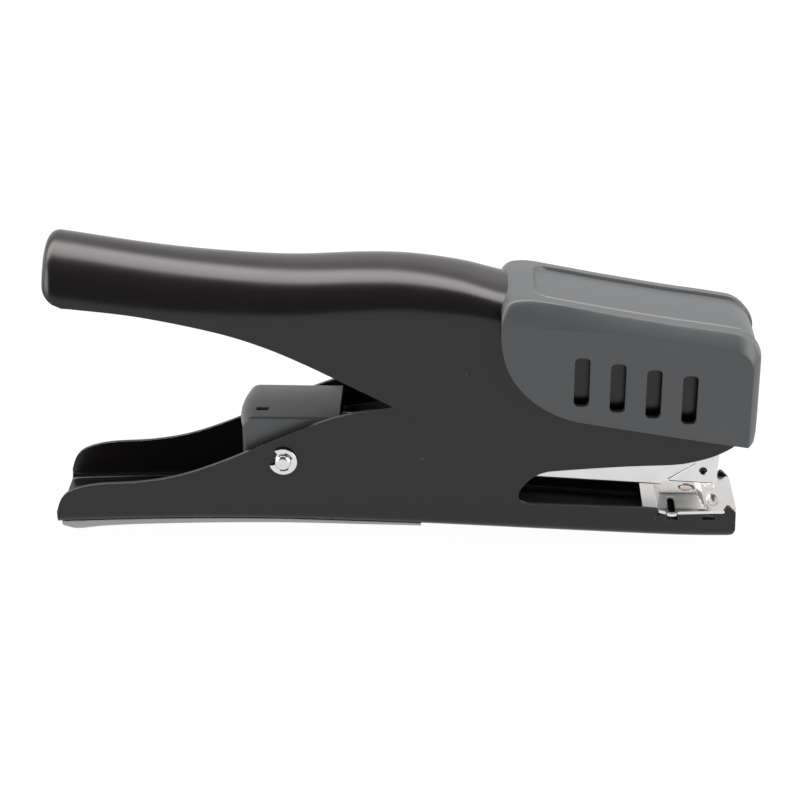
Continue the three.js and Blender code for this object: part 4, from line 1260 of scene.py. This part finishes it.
bridge_near = [(BRIDGE["rear"], -BRIDGE["half width"])]
for start, end in TABS:
    bridge_near += [(start, -BRIDGE["half width"]), (start, -BRIDGE["tab reach"]),
                    (end, -BRIDGE["tab reach"]),
                    (end, -BRIDGE["half width"])]
bridge_near.append((BRIDGE["front"], -BRIDGE["half width"]))
bridge_skin = Skin()
bridge_skin.panel(both_sides(bridge_near),
                  [round_hole(RIVET["x"], 0, 1.5, 24)], lambda x, y: (x, y, BRIDGE["top"]))
bridge = bridge_skin.build("anvil_bridge_strip")
give_wall(bridge, BRIDGE["sheet"])
roll_edges(bridge, 0.15)
stands_for(bridge, "zinced_steel", "anvil_bridge")

# %% [markdown]
# The magazine is a nickel-plated channel hung on the studs, and the front guide wraps its
# nose. Both are shaped level, along their own length, and then tilted about the pivot like the
# magazine itself. Their bends matter: a round lower edge draws the dark line under them.
# Black discs in the nose paint the shade seen through its round hole, and a black lip under the
# nose paints that dark line darker, as painted shade; they are one more piece.

# %% Shape the magazine and the guide
MAGAZINE = {"rear": -4.5, "floor end": 97.9, "front": 110.4, "bottom": -3.3, "nose": -1.4, "top": 5.2,
            "half width": 7.9, "sheet": 0.8, "bend": 0.9}
GUIDE = {"rear": 99.4, "front": 112.1, "top": 12, "front top": 9.4, "half width": 8.35, "sheet": 0.35,
         "bend": 0.9, "reach": 5.1, "ledge": 3.6}
STAKE = {"x": 108.3, "z": 1.85, "radius": 1.05}      # the round hole through the nose


def tilted(points):
    """Points of the magazine's own frame, in the tool's frame."""
    spots = [(along_magazine(x, z), y) for x, y, z in points]
    return [(x, y, z) for (x, _, z), y in spots]


def stake_hole():
    return round_hole(STAKE["x"], STAKE["z"], STAKE["radius"], 28)


def magazine_skin():
    skin = Skin()
    half, bend, bottom = MAGAZINE["half width"], MAGAZINE["bend"], MAGAZINE["bottom"]
    rings = []
    for x in along(MAGAZINE["rear"], MAGAZINE["floor end"], 12):
        side = trough_side(half, bottom, bottom + bend, bend)[1:]
        rings.append([(x, y, z) for y, z in both_halves(side)])
    skin.grid(rings)
    lower = [(ring[0][0], bottom + bend) for ring in rings]
    nose = [(MAGAZINE["floor end"] + 1.2, MAGAZINE["nose"]), (MAGAZINE["front"], MAGAZINE["nose"]),
            (MAGAZINE["front"], MAGAZINE["top"]), (MAGAZINE["rear"], MAGAZINE["top"])]
    holes = [stake_hole(), round_hole(0, 0, 1.75, 24)]
    skin.walls(lower + nose, holes, half)
    return skin


def guide_skin():
    skin = Skin()
    half, bend, bottom = GUIDE["half width"], GUIDE["bend"], MAGAZINE["nose"]
    start = GUIDE["front"] - bend
    side = [(GUIDE["rear"], bottom), (start, bottom), (start, GUIDE["top"]),
            (start - GUIDE["reach"], GUIDE["top"]), (start - GUIDE["reach"], GUIDE["ledge"])]
    skin.walls(side, [stake_hole()], half)
    turn = np.linspace(0, math.pi / 2, 6)
    plan = [(start + bend * math.sin(a), -half + bend * (1 - math.cos(a))) for a in turn]
    tops = [GUIDE["top"] + (GUIDE["front top"] - GUIDE["top"]) * share for share in np.linspace(0, 1, 6)]
    plan = [(x, y, top) for (x, y), top in zip(plan, tops)]
    plan += [(x, -y, top) for x, y, top in reversed(plan)]
    skin.grid([[(x, y, bottom), (x, y, top)] for x, y, top in plan])
    return skin


# painted shade: black discs sunk behind the stake hole and a black lip under the nose, where there is only
# shade
SHADE_DISC = {"radius": 1.3, "sunk": 0.35, "thickness": 0.3}
SHADE_LIP = {"rear": -8.5, "front": 2.6, "low": -0.3, "high": 0.3}
nose_shade_parts = Skin()
for side in (-1, 1):
    reach = MAGAZINE["half width"] - SHADE_DISC["sunk"]
    nose_shade_parts.panel([(STAKE["x"] + x, STAKE["z"] + z) for x, z in round_hole(0, 0, SHADE_DISC["radius"], 28)],
                   [],
                   lambda x, z: (x, side * reach, z), far=side > 0)
    rear, front = STAKE["x"] + SHADE_LIP["rear"], STAKE["x"] + SHADE_LIP["front"]
    low, high = MAGAZINE["nose"] + SHADE_LIP["low"], MAGAZINE["nose"] + SHADE_LIP["high"]
    lip = [(rear, low), (front, low), (front, high), (rear, high)]
    nose_shade_parts.panel(lip, [], lambda x, z: (x, side * (GUIDE["half width"] - SHADE_DISC["thickness"]), z),
                   far=side > 0)
nose_shade_parts.points = tilted(nose_shade_parts.points)
shade_piece = nose_shade_parts.build("painted_shade_nose_parts")
give_wall(shade_piece, SHADE_DISC["thickness"])
stands_for(shade_piece, "black_paint", "magazine")

for skin, name, sizes, node in ((magazine_skin(), "magazine_channel", MAGAZINE, "magazine"),
                                (guide_skin(), "nose_guide", GUIDE, "front_guide")):
    skin.points = tilted(skin.points)
    piece = skin.build(name)
    give_wall(piece, sizes["sheet"])
    roll_edges(piece, 0.07, sharper_than=60)
    stands_for(piece, "nickel", node)

# %% [markdown]
# ## Pressed and turned metal parts
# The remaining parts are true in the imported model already, down to their holes. They keep
# their own meshes: a Weld joins the loose triangles, a planar Decimate takes out the lines that
# triangulation left across flat faces, and a fine Bevel rolls the edges, so that they catch
# the light as stamped and tumbled parts do.

# %% Finish the parts that stay
KEPT_PARTS = {
    "zinced_steel": {"driver_lever": 0.15, "tray_rail": 0.12, "spring_rod": 0.1,
                     "fulcrum_pin": 0.15, "roller_pin": 0.15, "push_roller": 0.25, "blade_rivet": 0.1,
                     "spring_seat": 0.15},
    "spring_steel": {"driver_blade": 0.06, "fulcrum_clip": 0.1},
    "grey_plastic": {"staple_pusher": 0.15},
}


def refine_kept_part(part, radius):
    weld = part.modifiers.new("weld", "WELD")
    weld.merge_threshold = 0.002 * MM
    planar = part.modifiers.new("planar", "DECIMATE")
    planar.decimate_type = "DISSOLVE"
    planar.angle_limit = math.radians(0.6)
    roll_edges(part, radius, sharper_than=38)
    for face in part.data.polygons:
        face.use_smooth = True


for slot, parts in KEPT_PARTS.items():
    for node, radius in parts.items():
        refine_kept_part(frame["nodes"][node], radius)
        set_finish(frame["nodes"][node], slot)
    print(slot, "on", ", ".join(parts))
